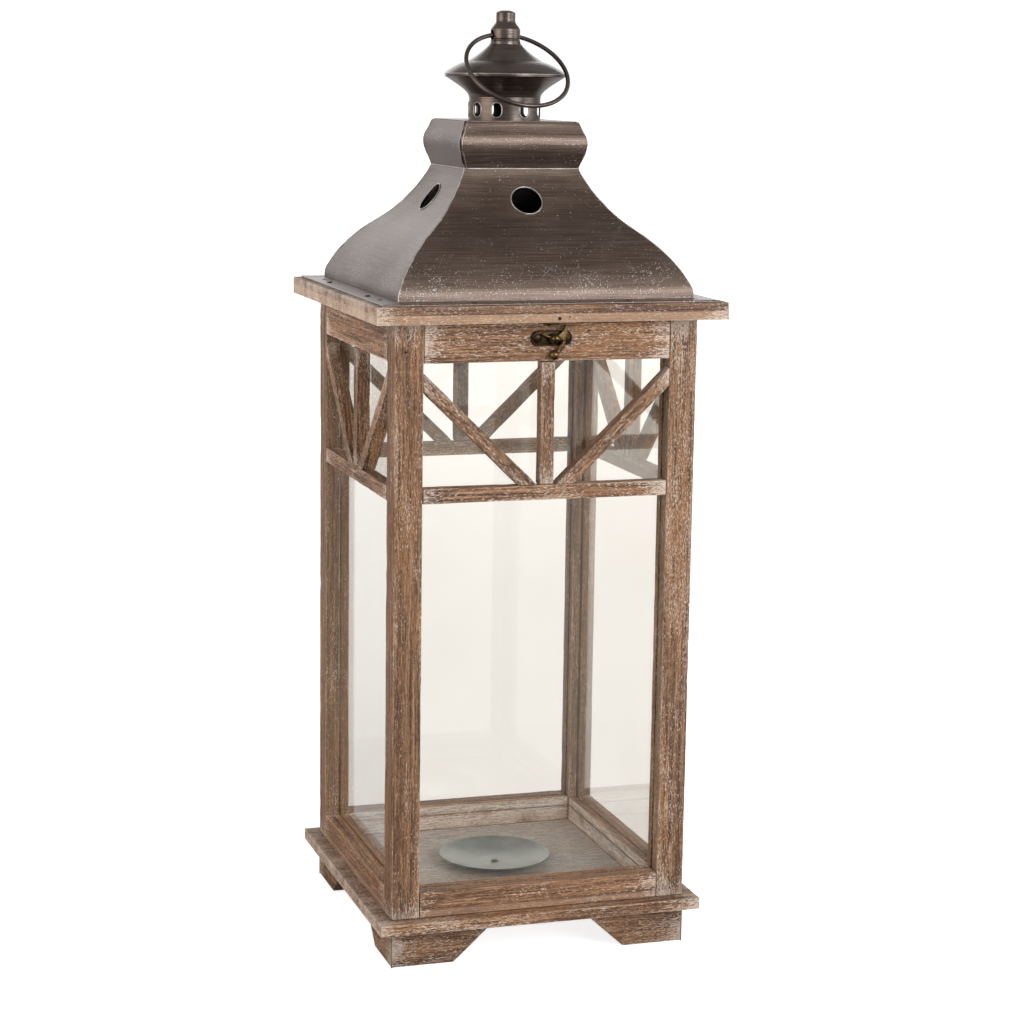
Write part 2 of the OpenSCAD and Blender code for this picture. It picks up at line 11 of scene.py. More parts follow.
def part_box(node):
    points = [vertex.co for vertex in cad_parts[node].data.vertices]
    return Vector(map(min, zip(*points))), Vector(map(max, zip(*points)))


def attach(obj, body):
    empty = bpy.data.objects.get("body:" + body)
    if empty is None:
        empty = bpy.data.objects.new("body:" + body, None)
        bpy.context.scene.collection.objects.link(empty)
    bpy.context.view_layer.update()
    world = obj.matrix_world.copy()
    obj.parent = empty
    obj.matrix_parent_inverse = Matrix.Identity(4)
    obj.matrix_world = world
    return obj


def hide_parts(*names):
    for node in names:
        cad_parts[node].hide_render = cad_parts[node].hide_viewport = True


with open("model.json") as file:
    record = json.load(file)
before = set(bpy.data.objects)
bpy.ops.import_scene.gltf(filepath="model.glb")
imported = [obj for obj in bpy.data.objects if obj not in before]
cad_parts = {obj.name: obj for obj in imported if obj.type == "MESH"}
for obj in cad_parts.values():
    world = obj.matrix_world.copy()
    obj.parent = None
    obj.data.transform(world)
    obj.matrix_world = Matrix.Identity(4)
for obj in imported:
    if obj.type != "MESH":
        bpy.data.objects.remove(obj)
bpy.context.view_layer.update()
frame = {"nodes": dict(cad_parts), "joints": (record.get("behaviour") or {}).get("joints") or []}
MM = 0.001
SIDES = {"front": 0, "right": 90, "back": 180, "left": 270}
RIGHT = Vector((1, 0, 0))
BACK = Vector((0, 1, 0))
UP = Vector((0, 0, 1))


# ---- small helpers ----

def turn(degrees, axis="Z"):
    """Rotation about the lantern's upright axis, or about another one."""
    return Matrix.Rotation(math.radians(degrees), 3, axis)


def wobble(point, frequency, seed=0.0):
    """Smooth repeatable noise from -1 to 1."""
    return noise.noise(Vector(point) * frequency + Vector((seed, seed * 1.7, -seed)))


def add_object(name, data):
    """A new object, linked into the scene."""
    made = bpy.data.objects.new(name, data)
    bpy.context.scene.collection.objects.link(made)
    return made


def mesh_from(name, bm):
    """A new mesh made from a bmesh, which is freed."""
    mesh = bpy.data.meshes.new(name)
    bm.to_mesh(mesh)
    bm.free()
    return mesh


def make_object(name, bm, material, body="roof", replaces=(), smooth=40):
    """Finishes a bmesh as one piece that rides on a CAD body."""
    bm.normal_update()
    piece = add_object(name, mesh_from(name, bm))
    piece.data.materials.append(material)
    shade(piece, smooth)
    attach(piece, body)
    if replaces:
        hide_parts(*replaces)
    return piece


def shade(piece, angle):
    """Smooth shading with edges sharper than angle kept."""
    for face in piece.data.polygons:
        face.use_smooth = True
    piece.data.set_sharp_from_angle(angle=math.radians(angle))


def cut(piece, cutter_bm, smooth=40):
    """Cuts the closed solids in cutter_bm out of the piece and shades it again."""
    bmesh.ops.recalc_face_normals(cutter_bm, faces=cutter_bm.faces)
    cutter_mesh = mesh_from("cutter", cutter_bm)
    cutter = add_object("cutter", cutter_mesh)
    boolean = piece.modifiers.new("cut", "BOOLEAN")
    boolean.operation = "DIFFERENCE"
    boolean.solver = "EXACT"
    boolean.object = cutter
    bpy.context.view_layer.update()
    graph = bpy.context.evaluated_depsgraph_get()
    mesh = bpy.data.meshes.new_from_object(piece.evaluated_get(graph), depsgraph=graph)
    piece.modifiers.clear()
    piece.data = mesh
    bpy.data.objects.remove(cutter)
    bpy.data.meshes.remove(cutter_mesh)
    shade(piece, smooth)


def set_vectors(mesh, name, values):
    """Stores one vector per vertex, for the materials."""
    layer = mesh.attributes.get(name) or mesh.attributes.new(name, "FLOAT_VECTOR", "POINT")
    layer.data.foreach_set("vector", [c for v in values for c in v])


def across_grain(piece, degrees=0, seed=0.0):
    """Brushing that runs across a face which looks towards that side."""
    back = turn(-degrees)
    spots = [back @ v.co for v in piece.data.vertices]
    set_vectors(piece.data, "grain", [(q.x + seed, q.z, q.y) for q in spots])


def around_grain(piece, seed=0.0):
    """Brushing that runs round a turned piece."""
    values = []
    for v in piece.data.vertices:
        angle = math.atan2(v.co.y, v.co.x)
        along = 30 * MM * math.cos(angle) + 20 * MM * math.sin(angle) + seed
        values.append((along, math.hypot(v.co.x, v.co.y), v.co.z))
    set_vectors(piece.data, "grain", values)


# ---- materials ----

class Wire:
    """One output of a shader node. Arithmetic on it adds math nodes."""

    def __init__(self, shader, socket):
        self.shader = shader
        self.socket = socket

    def __add__(self, other):
        return self.shader.math("ADD", self, other)

    def __sub__(self, other):
        return self.shader.math("SUBTRACT", self, other)

    def __mul__(self, other):
        return self.shader.math("MULTIPLY", self, other)


class Shader:
    """Adds linked nodes to the emptied tree of a material or a world."""

    def __init__(self, owner):
        owner.use_nodes = True
        self.owner = owner
        self.tree = owner.node_tree
        self.tree.nodes.clear()

    def add(self, kind, inputs=None, **settings):
        made = self.tree.nodes.new(kind)
        for key, value in settings.items():
            setattr(made, key, value)
        for key, value in (inputs or {}).items():
            if isinstance(value, Wire):
                self.tree.links.new(value.socket, made.inputs[key])
            else:
                made.inputs[key].default_value = value
        return made

    def out(self, kind, output, inputs=None, **settings):
        """Adds a node and gives one of its outputs."""
        return Wire(self, self.add(kind, inputs, **settings).outputs[output])

    def math(self, operation, a, b=0.0, clamp=False):
        return self.out("ShaderNodeMath", 0, {0: a, 1: b}, operation=operation, use_clamp=clamp)

    def largest(self, first, *others):
        for other in others:
            first = self.math("MAXIMUM", first, other)
        return first

    def smallest(self, first, *others):
        for other in others:
            first = self.math("MINIMUM", first, other)
        return first

    def ease(self, value, low, high, to_low=0.0, to_high=1.0):
        """Smooth step of value from low to high."""
        limits = {"Value": value, "From Min": low, "From Max": high, "To Min": to_low, "To Max": to_high}
        return self.out("ShaderNodeMapRange", "Result", limits, interpolation_type="SMOOTHSTEP")

    def vector(self, operation, *values, output=0):
        return self.out("ShaderNodeVectorMath", output, dict(enumerate(values)), operation=operation)

    def attribute(self, name):
        return self.out("ShaderNodeAttribute", "Vector", attribute_name=name)

    def place(self):
        return self.out("ShaderNodeTexCoord", "Object")

    def ray(self, kind):
        """1 for rays of that kind, 0 for others."""
        return self.out("ShaderNodeLightPath", f"Is {kind} Ray")

    def split(self, vector):
        return [Wire(self, socket) for socket in self.add("ShaderNodeSeparateXYZ", {0: vector}).outputs]

    def outwards(self, place):
        """How far out a surface is, times how much it looks outwards: negative on inner faces."""
        facing = self.split(self.out("ShaderNodeTexCoord", "Normal"))
        return place[0] * facing[0] + place[1] * facing[1]

    def noise(self, vector, scale=1.0, detail=3, rough=0.6, warp=0.0):
        return self.out("ShaderNodeTexNoise", "Fac", {"Vector": vector, "Scale": scale, "Detail": detail,
                                                      "Roughness": rough, "Distortion": warp})

    def fibres(self, grain, along, across, **settings):
        """Noise with its own frequencies along and across the grain."""
        return self.noise(self.vector("MULTIPLY", grain, (along, across, across)), **settings)

    def mix(self, factor, a, b, blend="MIX"):
        return self.out("ShaderNodeMix", 2, {0: factor, 6: a, 7: b}, data_type="RGBA", blend_type=blend,
                        clamp_factor=True)

    def paint(self, body, *layers):
        """Lays colours over the body. Each is (value, none at, full at, amount, red, green, blue)."""
        for value, low, high, amount, *tint in layers:
            body = self.mix(self.ease(value, low, high) * amount, body, colour(*tint))
        return body

    def grey(self, value):
        return self.out("ShaderNodeCombineColor", 0, {0: value, 1: value, 2: value})

    def bump(self, height, distance, strength, **under):
        return self.out("ShaderNodeBump", 0, {"Height": height, "Distance": distance, "Strength": strength,
                                              **under})

    def finish(self, inputs):
        """Ends a material in one principled surface."""
        bsdf = self.out("ShaderNodeBsdfPrincipled", 0, inputs)
        self.add("ShaderNodeOutputMaterial", {"Surface": bsdf})
        return self.owner


def colour(red, green, blue):
    """A colour given as it looks on screen, 0 to 255."""
    parts = [c / 255 for c in (red, green, blue)]
    linear = [c / 12.92 if c <= 0.04045 else ((c + 0.055) / 1.055) ** 2.4 for c in parts]
    return (*linear, 1.0)


def wood_material(name, roof=False):
    """Brushed stained wood with white wash left in the grain, pale arrises and dark joints."""
    s = Shader(bpy.data.materials.new(name))
    grain = s.attribute("grain")
    light, washed, joint = s.split(s.attribute("tone"))
    # distances from the board's end, side and top faces
    off = s.vector("ABSOLUTE", s.attribute("loc"))
    gap = s.split(s.vector("SUBTRACT", s.attribute("ext"), off))
    end = gap[0]
    place = s.split(s.place())
    reach = s.largest(s.math("ABSOLUTE", place[0]), s.math("ABSOLUTE", place[1]))

    slow = s.fibres(grain, 6, 50)
    patch = s.fibres(grain, 22, 110)
    streak = s.fibres(grain, 9, 330, detail=4, warp=0.2)
    fibre = s.fibres(grain, 80, 1150, detail=4, rough=0.68)
    line = s.fibres(grain, 13, 820, detail=4, warp=0.15)
    fleck = s.fibres(grain, 430, 1700, detail=2, warp=0.2)
    pore = s.fibres(grain, 240, 1500, detail=2, rough=0.55)
    hatch = s.fibres(grain, 820, 420, detail=2, rough=0.55)

    # distance to the nearest arris is the middle one of the three distances to the faces
    total = gap[0] + gap[1] + gap[2]
    arris = total - s.largest(*gap) - s.smallest(*gap)

    stain = s.mix(s.ease(streak, 0.34, 0.66), colour(102, 70, 47), colour(148, 108, 78))
    stain = s.paint(stain,
                    (slow, 0.48, 0.64, 0.6, 166, 114, 70),
                    (slow, 0.48, 0.34, 0.7, 92, 64, 48),
                    (line, 0.48, 0.37, 0.8, 64, 41, 29),
                    (line, 0.54, 0.64, 0.6, 184, 140, 104),
                    (fibre, 0.48, 0.36, 0.6, 78, 54, 39),
                    (fibre, 0.53, 0.65, 0.65, 188, 146, 112),
                    (pore, 0.46, 0.36, 0.6, 58, 40, 30),
                    (hatch, 0.42, 0.3, 0.35, 84, 56, 38),
                    (fleck, 0.55, 0.66, 0.28, 196, 158, 126))

    # white wash: long streaks, short flecks, and more of both near ends and arrises
    amount = s.ease(end, 20 * MM, 0.0) * 0.12 + s.ease(arris, 3.5 * MM, 0.2 * MM) * 0.035
    amount = amount + (patch - 0.5) * 0.34 + (slow - 0.5) * 0.3 + (washed - 0.5) * 0.16
    long_wash = s.ease(fibre + amount, 0.64, 0.78) * 0.5
    short_wash = s.ease(fleck + amount, 0.60, 0.74) * 0.9
    hatched = s.ease(hatch + amount, 0.67, 0.8) * 0.45
    wash = s.math("MULTIPLY", s.largest(long_wash, short_wash, hatched), 0.8, clamp=True)

    # inner faces are greyer; the floor and the inside of the bottom rails are pale grey
    body = s.paint(stain, (s.outwards(place), -20 * MM, -50 * MM, 0.4, 122, 108, 94))
    low_inside = (s.ease(reach, INNER + 0.6 * MM, INNER - 0.2 * MM)
                  * s.ease(place[2], PALE_TOP + 2 * MM, PALE_TOP))
    pale = s.mix(s.ease(fibre, 0.38, 0.6), colour(158, 151, 147), colour(226, 219, 214))
    pale = s.paint(pale,
                   (slow, 0.42, 0.62, 0.45, 196, 176, 162),
                   (pore, 0.44, 0.36, 0.6, 112, 102, 97),
                   (fleck, 0.55, 0.65, 0.7, 240, 236, 232))
    body = s.mix(low_inside * 0.88, body, pale)

    pale_edge = s.ease(arris, 1.3 * MM, 0.2 * MM) * s.ease(patch, 0.36, 0.56)
    body = s.mix(pale_edge * 0.55, body, colour(186, 148, 116))
    if roof:
        body = paint_roof_edge(s, body, reach, place[2])
    else:
        body = paint_band(s, body, reach, place[2], slow, patch)
    body = s.mix(wash, body, colour(220, 204, 189))
    body = s.mix(s.ease(end, 1.1 * MM, 0.3 * MM) * joint * 0.75, body, colour(58, 40, 30))
    body = s.mix(1.0, body, s.grey(light * 0.6 + 0.8), "MULTIPLY")

    relief = streak * 0.5 + fibre * 0.6 + wash * 0.12
    return s.finish({"Base Color": body, "Roughness": s.ease(wash, 0.0, 1.0, 0.6, 0.85),
                     "Specular IOR Level": 0.35, "Normal": s.bump(relief, 0.6 * MM, 0.9)})


def paint_roof_edge(s, body, reach, height):
    """The roof board's edge is paler under its step; above the step it is darkened as painted shade under
    the hood's flange.
    """
    edge_zone = s.ease(reach, ROOF_HALF - 3.5 * MM, ROOF_HALF - 2.5 * MM)
    under = edge_zone * s.ease(height, STEP_Z + 0.4 * MM, STEP_Z - 0.4 * MM)
    body = s.mix(under * 0.45, body, colour(196, 160, 132))
    # painted shade: the band above the step, under the flange
    above = edge_zone * s.ease(height, STEP_Z - 0.4 * MM, STEP_Z + 0.4 * MM)
    return s.mix(above * 0.35, body, colour(104, 74, 62))


def paint_band(s, body, reach, height, slow, patch):
    """Wash gathers in a low band along the outside of the frame, under a dark line."""
    outside = s.ease(reach, FRAME_HALF - 1.2 * MM, FRAME_HALF - 0.6 * MM)
    above_board = s.ease(height, FLOOR_Z - 0.2 * MM, FLOOR_Z + 0.2 * MM)
    zone = outside * above_board
    level = height + (slow - 0.5) * (3 * MM) - BAND_Z
    body = s.mix(zone * s.ease(level, 0.8 * MM, -0.6 * MM) * 0.4, body, colour(154, 128, 110))
    dark = s.ease(s.math("ABSOLUTE", level), 1.1 * MM, 0.2 * MM) * zone
    return s.mix(dark * s.ease(patch, 0.3, 0.6, 0.25, 0.75), body, colour(84, 52, 38))


def metal_material(name, base, bright, rough, specks=0.0, worn=0.35):
    """Dark brushed sheet metal, semi-gloss, with rubbed streaks and a few pale specks, some of them a
    painted highlight on the collar's bulge; its inner faces are painted shade, made near-black.
    """
    s = Shader(bpy.data.materials.new(name))
    grain = s.attribute("grain")
    place = s.place()
    spot = s.split(place)
    lines = s.fibres(grain, 26, 1500)
    broad = s.fibres(grain, 12, 260)
    cloud = s.noise(place, scale=26)
    body = s.mix(s.ease(lines, 0.3, 0.72), colour(*base), colour(*bright))
    body = s.paint(body, (broad, 0.45, 0.7, worn, *bright), (cloud, 0.58, 0.36, 0.4, *base))
    metallic = 0.86
    if specks:
        # most of them lie low on the hood as dust; those on the collar's bulge are dust and also a painted
        # highlight along the bulge
        dust = s.noise(place, scale=1150, detail=1, rough=0.4)
        where = s.noise(place, scale=60, detail=2, rough=0.5)
        low = s.ease(spot[2], HOOD_FOOT_Z + 42 * MM, HOOD_FOOT_Z + 4 * MM, 0.0, 0.085)
        # more pale specks at the bulge's height, partly dust and partly a painted highlight
        bulge_dust_and_highlight = s.ease(s.math("ABSOLUTE", spot[2] - BULGE_Z), 7 * MM, 1 * MM, 0.0, 0.075)
        level = dust + s.largest(low, bulge_dust_and_highlight) + (where - 0.5) * 0.22
        dust_and_highlight = s.ease(level, 0.735, 0.775) * specks
        body = s.mix(dust_and_highlight, body, colour(206, 202, 198))
        metallic = s.ease(dust_and_highlight, 0.0, 1.0, metallic, 0.0)
    # painted shade: faces that look inwards, inside the hood, collar, chimney and cap, are made near-black
    body = s.mix(s.ease(s.outwards(spot), -2 * MM, -12 * MM), body, colour(14, 11, 10))
    gloss = (cloud - 0.5) * 0.18 + (lines * 0.12 + (rough - 0.06))
    dents = s.noise(place, scale=11, detail=1, rough=0.4)
    relief = s.bump(lines, 0.12 * MM, 0.8, Normal=s.bump(dents, 4 * MM, 0.35))
    return s.finish({"Base Color": body, "Metallic": metallic, "Roughness": gloss, "Normal": relief,
                     "Coat Weight": 0.4, "Coat Roughness": 0.34})


def brass_material(name, wear=1.0):
    """Aged brass: nearly black in the hollows, golden where it is rubbed."""
    s = Shader(bpy.data.materials.new(name))
    place = s.place()
    cloud = s.noise(place, scale=220, detail=4)
    fine = s.noise(place, scale=1500, detail=2, rough=0.5)
    open_side = s.out("ShaderNodeAmbientOcclusion", "AO", {"Distance": 2.2 * MM}, samples=8)
    rubbed = s.ease(open_side + (cloud - 0.5) * 0.8, 0.62, 1.0, 0.0, wear)
    body = s.mix(rubbed, colour(44, 33, 22), colour(128, 101, 66))
    body = s.paint(body, (cloud, 0.55, 0.35, 0.6, 50, 38, 26))
    return s.finish({"Base Color": body, "Metallic": 0.92, "Roughness": s.ease(cloud, 0.3, 0.7, 0.26, 0.44),
                     "Normal": s.bump(fine, 0.05 * MM, 0.6)})


def steel_material(name):
    """Satin grey-green steel of the candle dish."""
    s = Shader(bpy.data.materials.new(name))
    rings = s.fibres(s.attribute("grain"), 6, 900)
    cloud = s.noise(s.place(), scale=45, detail=4, rough=0.62)
    body = s.mix(s.ease(cloud, 0.32, 0.7), colour(88, 93, 89), colour(124, 128, 123))
    body = s.paint(body, (rings, 0.5, 0.3, 0.25, 84, 89, 85))
    return s.finish({"Base Color": body, "Metallic": 0.55, "Roughness": s.ease(cloud, 0.3, 0.7, 0.34, 0.46),
                     "Normal": s.bump(rings, 0.06 * MM, 0.5)})


def glass_material(name):
    """Clear float glass with a faint warm film. Light for the inside passes straight through."""
    s = Shader(bpy.data.materials.new(name))
    film = s.noise(s.place(), scale=9)
    tint = s.mix(s.ease(film, 0.3, 0.7), colour(252, 250, 246), colour(250, 247, 242))
    pane = s.out("ShaderNodeBsdfPrincipled", 0, {"Base Color": tint, "Roughness": 0.0, "IOR": 1.5,
                                                 "Transmission Weight": 1.0})
    clear = s.out("ShaderNodeBsdfTransparent", 0, {"Color": colour(250, 249, 246)})
    passes = s.largest(s.ray("Shadow"), s.ray("Diffuse"))
    both = s.out("ShaderNodeMixShader", 0, {0: passes, 1: pane, 2: clear})
    s.add("ShaderNodeOutputMaterial", {"Surface": both})
    return s.owner


FRAME_LOW, FRAME_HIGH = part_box("post_front_left")
FRAME_HALF = -FRAME_LOW.x
INNER = -FRAME_HIGH.x
FLOOR_Z = FRAME_LOW.z
BAND_Z = FLOOR_Z + 5.4 * MM
PALE_TOP = 50 * MM
ROOF_LOW, ROOF_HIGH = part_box("roof_board")
ROOF_HALF = ROOF_HIGH.x
STEP_Z = ROOF_HIGH.z - 5.5 * MM
HOOD_FOOT_Z = ROOF_HIGH.z
BULGE_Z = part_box("collar_box")[0].z + 17.5 * MM

WOOD = wood_material("frame_wood")
ROOF_WOOD = wood_material("roof_wood", roof=True)
METAL = metal_material("dark_metal", (88, 69, 58), (128, 108, 95), 0.43, specks=0.85)
TURNED_METAL = metal_material("turned_metal", (78, 65, 58), (118, 104, 96), 0.3)
# near-black metal that paints the shade in the nail holes and in the collar's opened seam
SHADED_RECESS_METAL = metal_material("shaded_recess_metal", (26, 20, 17), (52, 42, 36), 0.6)
# bright bare metal for solder, burrs and scratches; on the burrs round the hood's holes its brightness is
# also a painted highlight along the holes' edges
WORN_METAL_AND_EDGE_GLINT = metal_material("worn_metal_and_edge_glint", (168, 158, 150), (214, 206, 198), 0.32, worn=0.7)
DARK_STEEL = metal_material("dark_steel", (70, 66, 62), (110, 104, 98), 0.4)
BRASS = brass_material("antique_brass")
DARK_BRASS = brass_material("blackened_brass", wear=0.25)
STEEL = steel_material("dish_steel")
GLASS = glass_material("clear_glass")


# ---- wood ----

SLICE = 7 * MM
SLIM_FACE = 6 * MM
SLIM_BEVEL = 0.35 * MM
WEAR = 0.10 * MM
CHIP = 0.9 * MM
# the least angle between two faces, in radians, that makes an arris
SHARP = 0.3


def island_meshes(node, cuts=()):
    """The node's separate boards as clean bmeshes. Each cut is a plane that parts a board in two."""
    whole = bmesh.new()
    whole.from_mesh(frame["nodes"][node].data)
    bmesh.ops.remove_doubles(whole, verts=whole.verts, dist=1e-6)
    halves = [whole]
    for point, direction in cuts:
        halves = [half for bm in halves for half in parted(bm, point, direction)]
    boards = [board for bm in halves for board in loose_parts(bm)]
    for bm in boards:
        bmesh.ops.dissolve_limit(bm, angle_limit=math.radians(1), verts=bm.verts, edges=bm.edges)
        bm.normal_update()
    return boards


def slice_through(bm, point, direction, **settings):
    geometry = list(bm.verts) + list(bm.edges) + list(bm.faces)
    bmesh.ops.bisect_plane(bm, geom=geometry, plane_co=point, plane_no=direction, **settings)


def parted(bm, point, direction):
    """Both halves of a closed mesh, each closed again."""
    result = []
    for outwards in (1, -1):
        half = bm.copy()
        slice_through(half, point, Vector(direction) * outwards, clear_outer=True)
        bmesh.ops.holes_fill(half, edges=[e for e in half.edges if e.is_boundary])
        result.append(half)
    bm.free()
    return result


def loose_parts(bm):
    """One bmesh for each connected part."""
    parts = []
    left = set(bm.verts)
    for first in bm.verts:
        if first not in left:
            continue
        group, stack = set(), [first]
        while stack:
            v = stack.pop()
            if v in left:
                left.discard(v)
                group.add(v)
                stack += [e.other_vert(v) for e in v.link_edges]
        part = bmesh.new()
        new = {v: part.verts.new(v.co) for v in bm.verts if v in group}
        for face in bm.faces:
            if face.verts[0] in group:
                part.faces.new([new[v] for v in face.verts])
        parts.append(part)
    bm.free()
    return parts


def grain_frame(bm, along):
    """Rotation whose first row runs along the grain, and the board's middle and half size in it."""
    if along is None:
        longest = max(bm.edges, key=lambda e: round(e.calc_length(), 6))
        along = (longest.verts[1].co - longest.verts[0].co).normalized()
    side = UP.cross(along)
    side = RIGHT if side.length < 0.1 else side.normalized()
    rows = Matrix((along, side, along.cross(side)))
    points = [rows @ v.co for v in bm.verts]
    low = Vector(min(p[i] for p in points) for i in range(3))
    high = Vector(max(p[i] for p in points) for i in range(3))
    return rows, (low + high) / 2, (high - low) / 2


def outer_corners(bm):
    """The edges that stand out between two faces."""
    return [e for e in bm.edges if len(e.link_faces) == 2 and e.calc_face_angle_signed(0) >= SHARP]


def bevel(bm, edges, width, segments):
    edges = [e for e in edges if e.is_valid]
    bmesh.ops.bevel(bm, geom=edges, offset=width, offset_type="OFFSET", segments=segments, profile=0.5,
                    affect="EDGES", clamp_overlap=True)


def ease_edges(bm, along, round_long, round_end):
    """Rounds the arrises along the grain well and those at the ends a little."""
    broad, slim = [], []
    for e in outer_corners(bm):
        direction = (e.verts[1].co - e.verts[0].co).normalized()
        if abs(direction.dot(along)) > 0.98:
            width = min(f.calc_area() / max(e.calc_length(), 1e-9) for f in e.link_faces)
            (slim if width < SLIM_FACE else broad).append(e)
    bevel(bm, broad, round_long, 3)
    bevel(bm, slim, SLIM_BEVEL, 1)
    bm.normal_update()
    ends = []
    for e in outer_corners(bm):
        side, end = sorted(abs(f.normal.dot(along)) for f in e.link_faces)
        if end > 0.5 and side < 0.5:
            ends.append(e)
    bevel(bm, ends, round_end, 1)


def weather(bm, along, centre, half, rows, seed):
    """Slices the board across its grain and wears its arrises inwards."""
    count = max(2, int(2 * half[0] / SLICE))
    for i in range(1, count):
        at = centre.copy()
        at[0] += -half[0] + 2 * half[0] * i / count
        slice_through(bm, rows.transposed() @ at, along)
    bm.normal_update()
    for v in bm.verts:
        wear = WEAR * (2 + wobble(v.co, 40, seed) + wobble(v.co, 260, seed + 3))
        chip = CHIP * max(0.0, wobble(v.co, 95, seed + 9) - 0.28)
        if is_arris(v):
            v.co -= v.normal * (wear + chip)


def is_arris(v):
    """True where the faces round a vertex look different ways."""
    normals = [f.normal for f in v.link_faces]
    return any(a.dot(b) < 0.97 for a in normals for b in normals)


def wood_piece(node, body="frame", material=WOOD, along=None, cuts=(), seed=1.0, round_long=0.8 * MM,
               round_end=0.3 * MM, tone=(0.5, 0.5), dark_end=1.0):
    """A worn board, or several, in place of a CAD node. tone is how light and how washed it is."""
    verts, faces = [], []
    low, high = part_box(node)
    layers = {"grain": [], "loc": [], "ext": [], "tone": []}
    for k, bm in enumerate(island_meshes(node, cuts)):
        rows, centre, half = grain_frame(bm, along)
        axis = Vector(rows[0])
        ease_edges(bm, axis, round_long, round_end)
        weather(bm, axis, centre, half, rows, seed + k)
        spots = ((seed + k, 0, 0), (0, seed + k, 0), (0, 0, seed + k))
        shift = Vector(wobble(spot, often) for spot, often in zip(spots, (7.3, 5.1, 3.7)))
        bm.verts.index_update()
        base = len(verts)
        for v in bm.verts:
            local = rows @ v.co - centre
            verts.append(Vector(min(max(at, a), b) for at, a, b in zip(v.co, low, high)))
            layers["grain"].append(local + shift * 3)
            layers["loc"].append(local)
            layers["ext"].append(half)
            layers["tone"].append((*tone, dark_end))
        faces += [[base + v.index for v in f.verts] for f in bm.faces]
        bm.free()
    mesh = bpy.data.meshes.new(node + "_worn")
    mesh.from_pydata(verts, [], faces)
    for name, values in layers.items():
        set_vectors(mesh, name, values)
    mesh.materials.append(material)
    piece = add_object(node + "_worn", mesh)
    shade(piece, 55)
    piece.modifiers.new("normals", "WEIGHTED_NORMAL").keep_sharp = True
    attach(piece, body)
    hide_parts(node)


def build_frame_wood():
    # each corner's tone, and the direction across the mitre between its foot's two boards
    corners = {"front_left": ((0.36, 0.45), (1, -1, 0)), "front_right": ((0.36, 0.68), (1, 1, 0)),
               "back_left": ((0.42, 0.5), (1, 1, 0)), "back_right": ((0.2, 0.5), (1, -1, 0))}
    for k, (corner, (tone, mitre)) in enumerate(corners.items()):
        wood_piece("post_" + corner, along=UP, seed=11 + 3.1 * k, tone=tone, round_long=1.0 * MM)
        wood_piece("foot_" + corner, cuts=[((0, 0, 0), mitre)], seed=31 + 2.3 * k, tone=(0.12, 0.75),
                   round_long=1.0 * MM)
    for k, (side, degrees) in enumerate(SIDES.items()):
        along = turn(degrees) @ RIGHT
        wood_piece("bottom_rail_" + side, along=along, seed=51 + k * 1.9, tone=(0.9, 0.4))
        wood_piece("mid_rail_" + side, along=along, seed=61 + k * 2.9, tone=(0.62, 0.75))
        wood_piece("top_rail_" + side, along=along, seed=71 + k * 4.3, tone=(0.72, 0.65))
        wood_piece("mullion_" + side, along=UP, seed=81 + k * 3.3, tone=(0.3, 0.6))
        wood_piece("braces_" + side, seed=91 + k * 5.3, tone=(0.5, 0.75))
    wood_piece("base_board", along=RIGHT, seed=101, tone=(0.55, 0.7), round_long=1.4 * MM,
               round_end=1.4 * MM, dark_end=0.0)
    build_nails("post_nail", "frame", FRAME_LOW.y, ((-94.7, 405.6, 0.8),))


def build_roof_wood():
    wood_piece("roof_board", body="roof", material=ROOF_WOOD, along=RIGHT, seed=121, tone=(0.55, 0.7),
               round_long=1.1 * MM, round_end=1.1 * MM, dark_end=0.0)
    build_nails("roof_edge_nails", "roof", ROOF_LOW.y, ((1.7, 426.8, 1.2), (8.3, 427.8, 0.55)))


def build_nails(name, body, front, nails):
    """Nail heads sunk in their holes on a front face, as near-black discs: the black is dark metal and
    painted shade in the holes. Each nail is (x, height, radius) in millimetres.
    """
    bm = bmesh.new()
    for x, z, radius in nails:
        at = Vector((x * MM, front, z * MM))
        tube(bm, [at, at + BACK * 2 * MM], radius * MM, 24)
    heads = make_object(name, bm, SHADED_RECESS_METAL, body=body)
    around_grain(heads, seed=4.1)


# ---- forms that the metal and the nails are made of ----

def circle(centre, across, up, radius, count):
    """Evenly spaced points round a circle."""
    angles = [2 * math.pi * k / count for k in range(count)]
    return [centre + radius * (math.cos(a) * across + math.sin(a) * up) for a in angles]


def arc(centre, radius, start, stop, count):
    """Points on a circle between two angles in degrees."""
    points = []
    for k in range(count + 1):
        angle = math.radians(start + (stop - start) * k / count)
        points.append((centre[0] + radius * math.cos(angle), centre[1] + radius * math.sin(angle)))
    return points


def oblong(length, width, count):
    """Outline with two round ends that lies along x, anticlockwise."""
    r = width / 2
    reach = length / 2 - r
    return arc((reach, 0), r, -90, 90, count) + arc((-reach, 0), r, 90, 270, count)


def smooth_line(points, count):
    """Catmull-Rom curve through the points, evenly spaced along its length."""
    fine = []
    for i in range(len(points) - 1):
        a = Vector(points[max(i - 1, 0)])
        b, c = Vector(points[i]), Vector(points[i + 1])
        d = Vector(points[min(i + 2, len(points) - 1)])
        for k in range(12):
            t = k / 12
            fine.append(0.5 * (2 * b + (c - a) * t + (2 * a - 5 * b + 4 * c - d) * t * t
                               + (3 * b - a - 3 * c + d) * t ** 3))
    fine.append(Vector(points[-1]))
    lengths = [0.0]
    for p, q in zip(fine, fine[1:]):
        lengths.append(lengths[-1] + (q - p).length)
    result, j = [], 0
    for k in range(count + 1):
        want = lengths[-1] * k / count
        while j < len(fine) - 2 and lengths[j + 1] < want:
            j += 1
        step = max(lengths[j + 1] - lengths[j], 1e-12)
        result.append(tuple(fine[j].lerp(fine[j + 1], (want - lengths[j]) / step)))
    return result


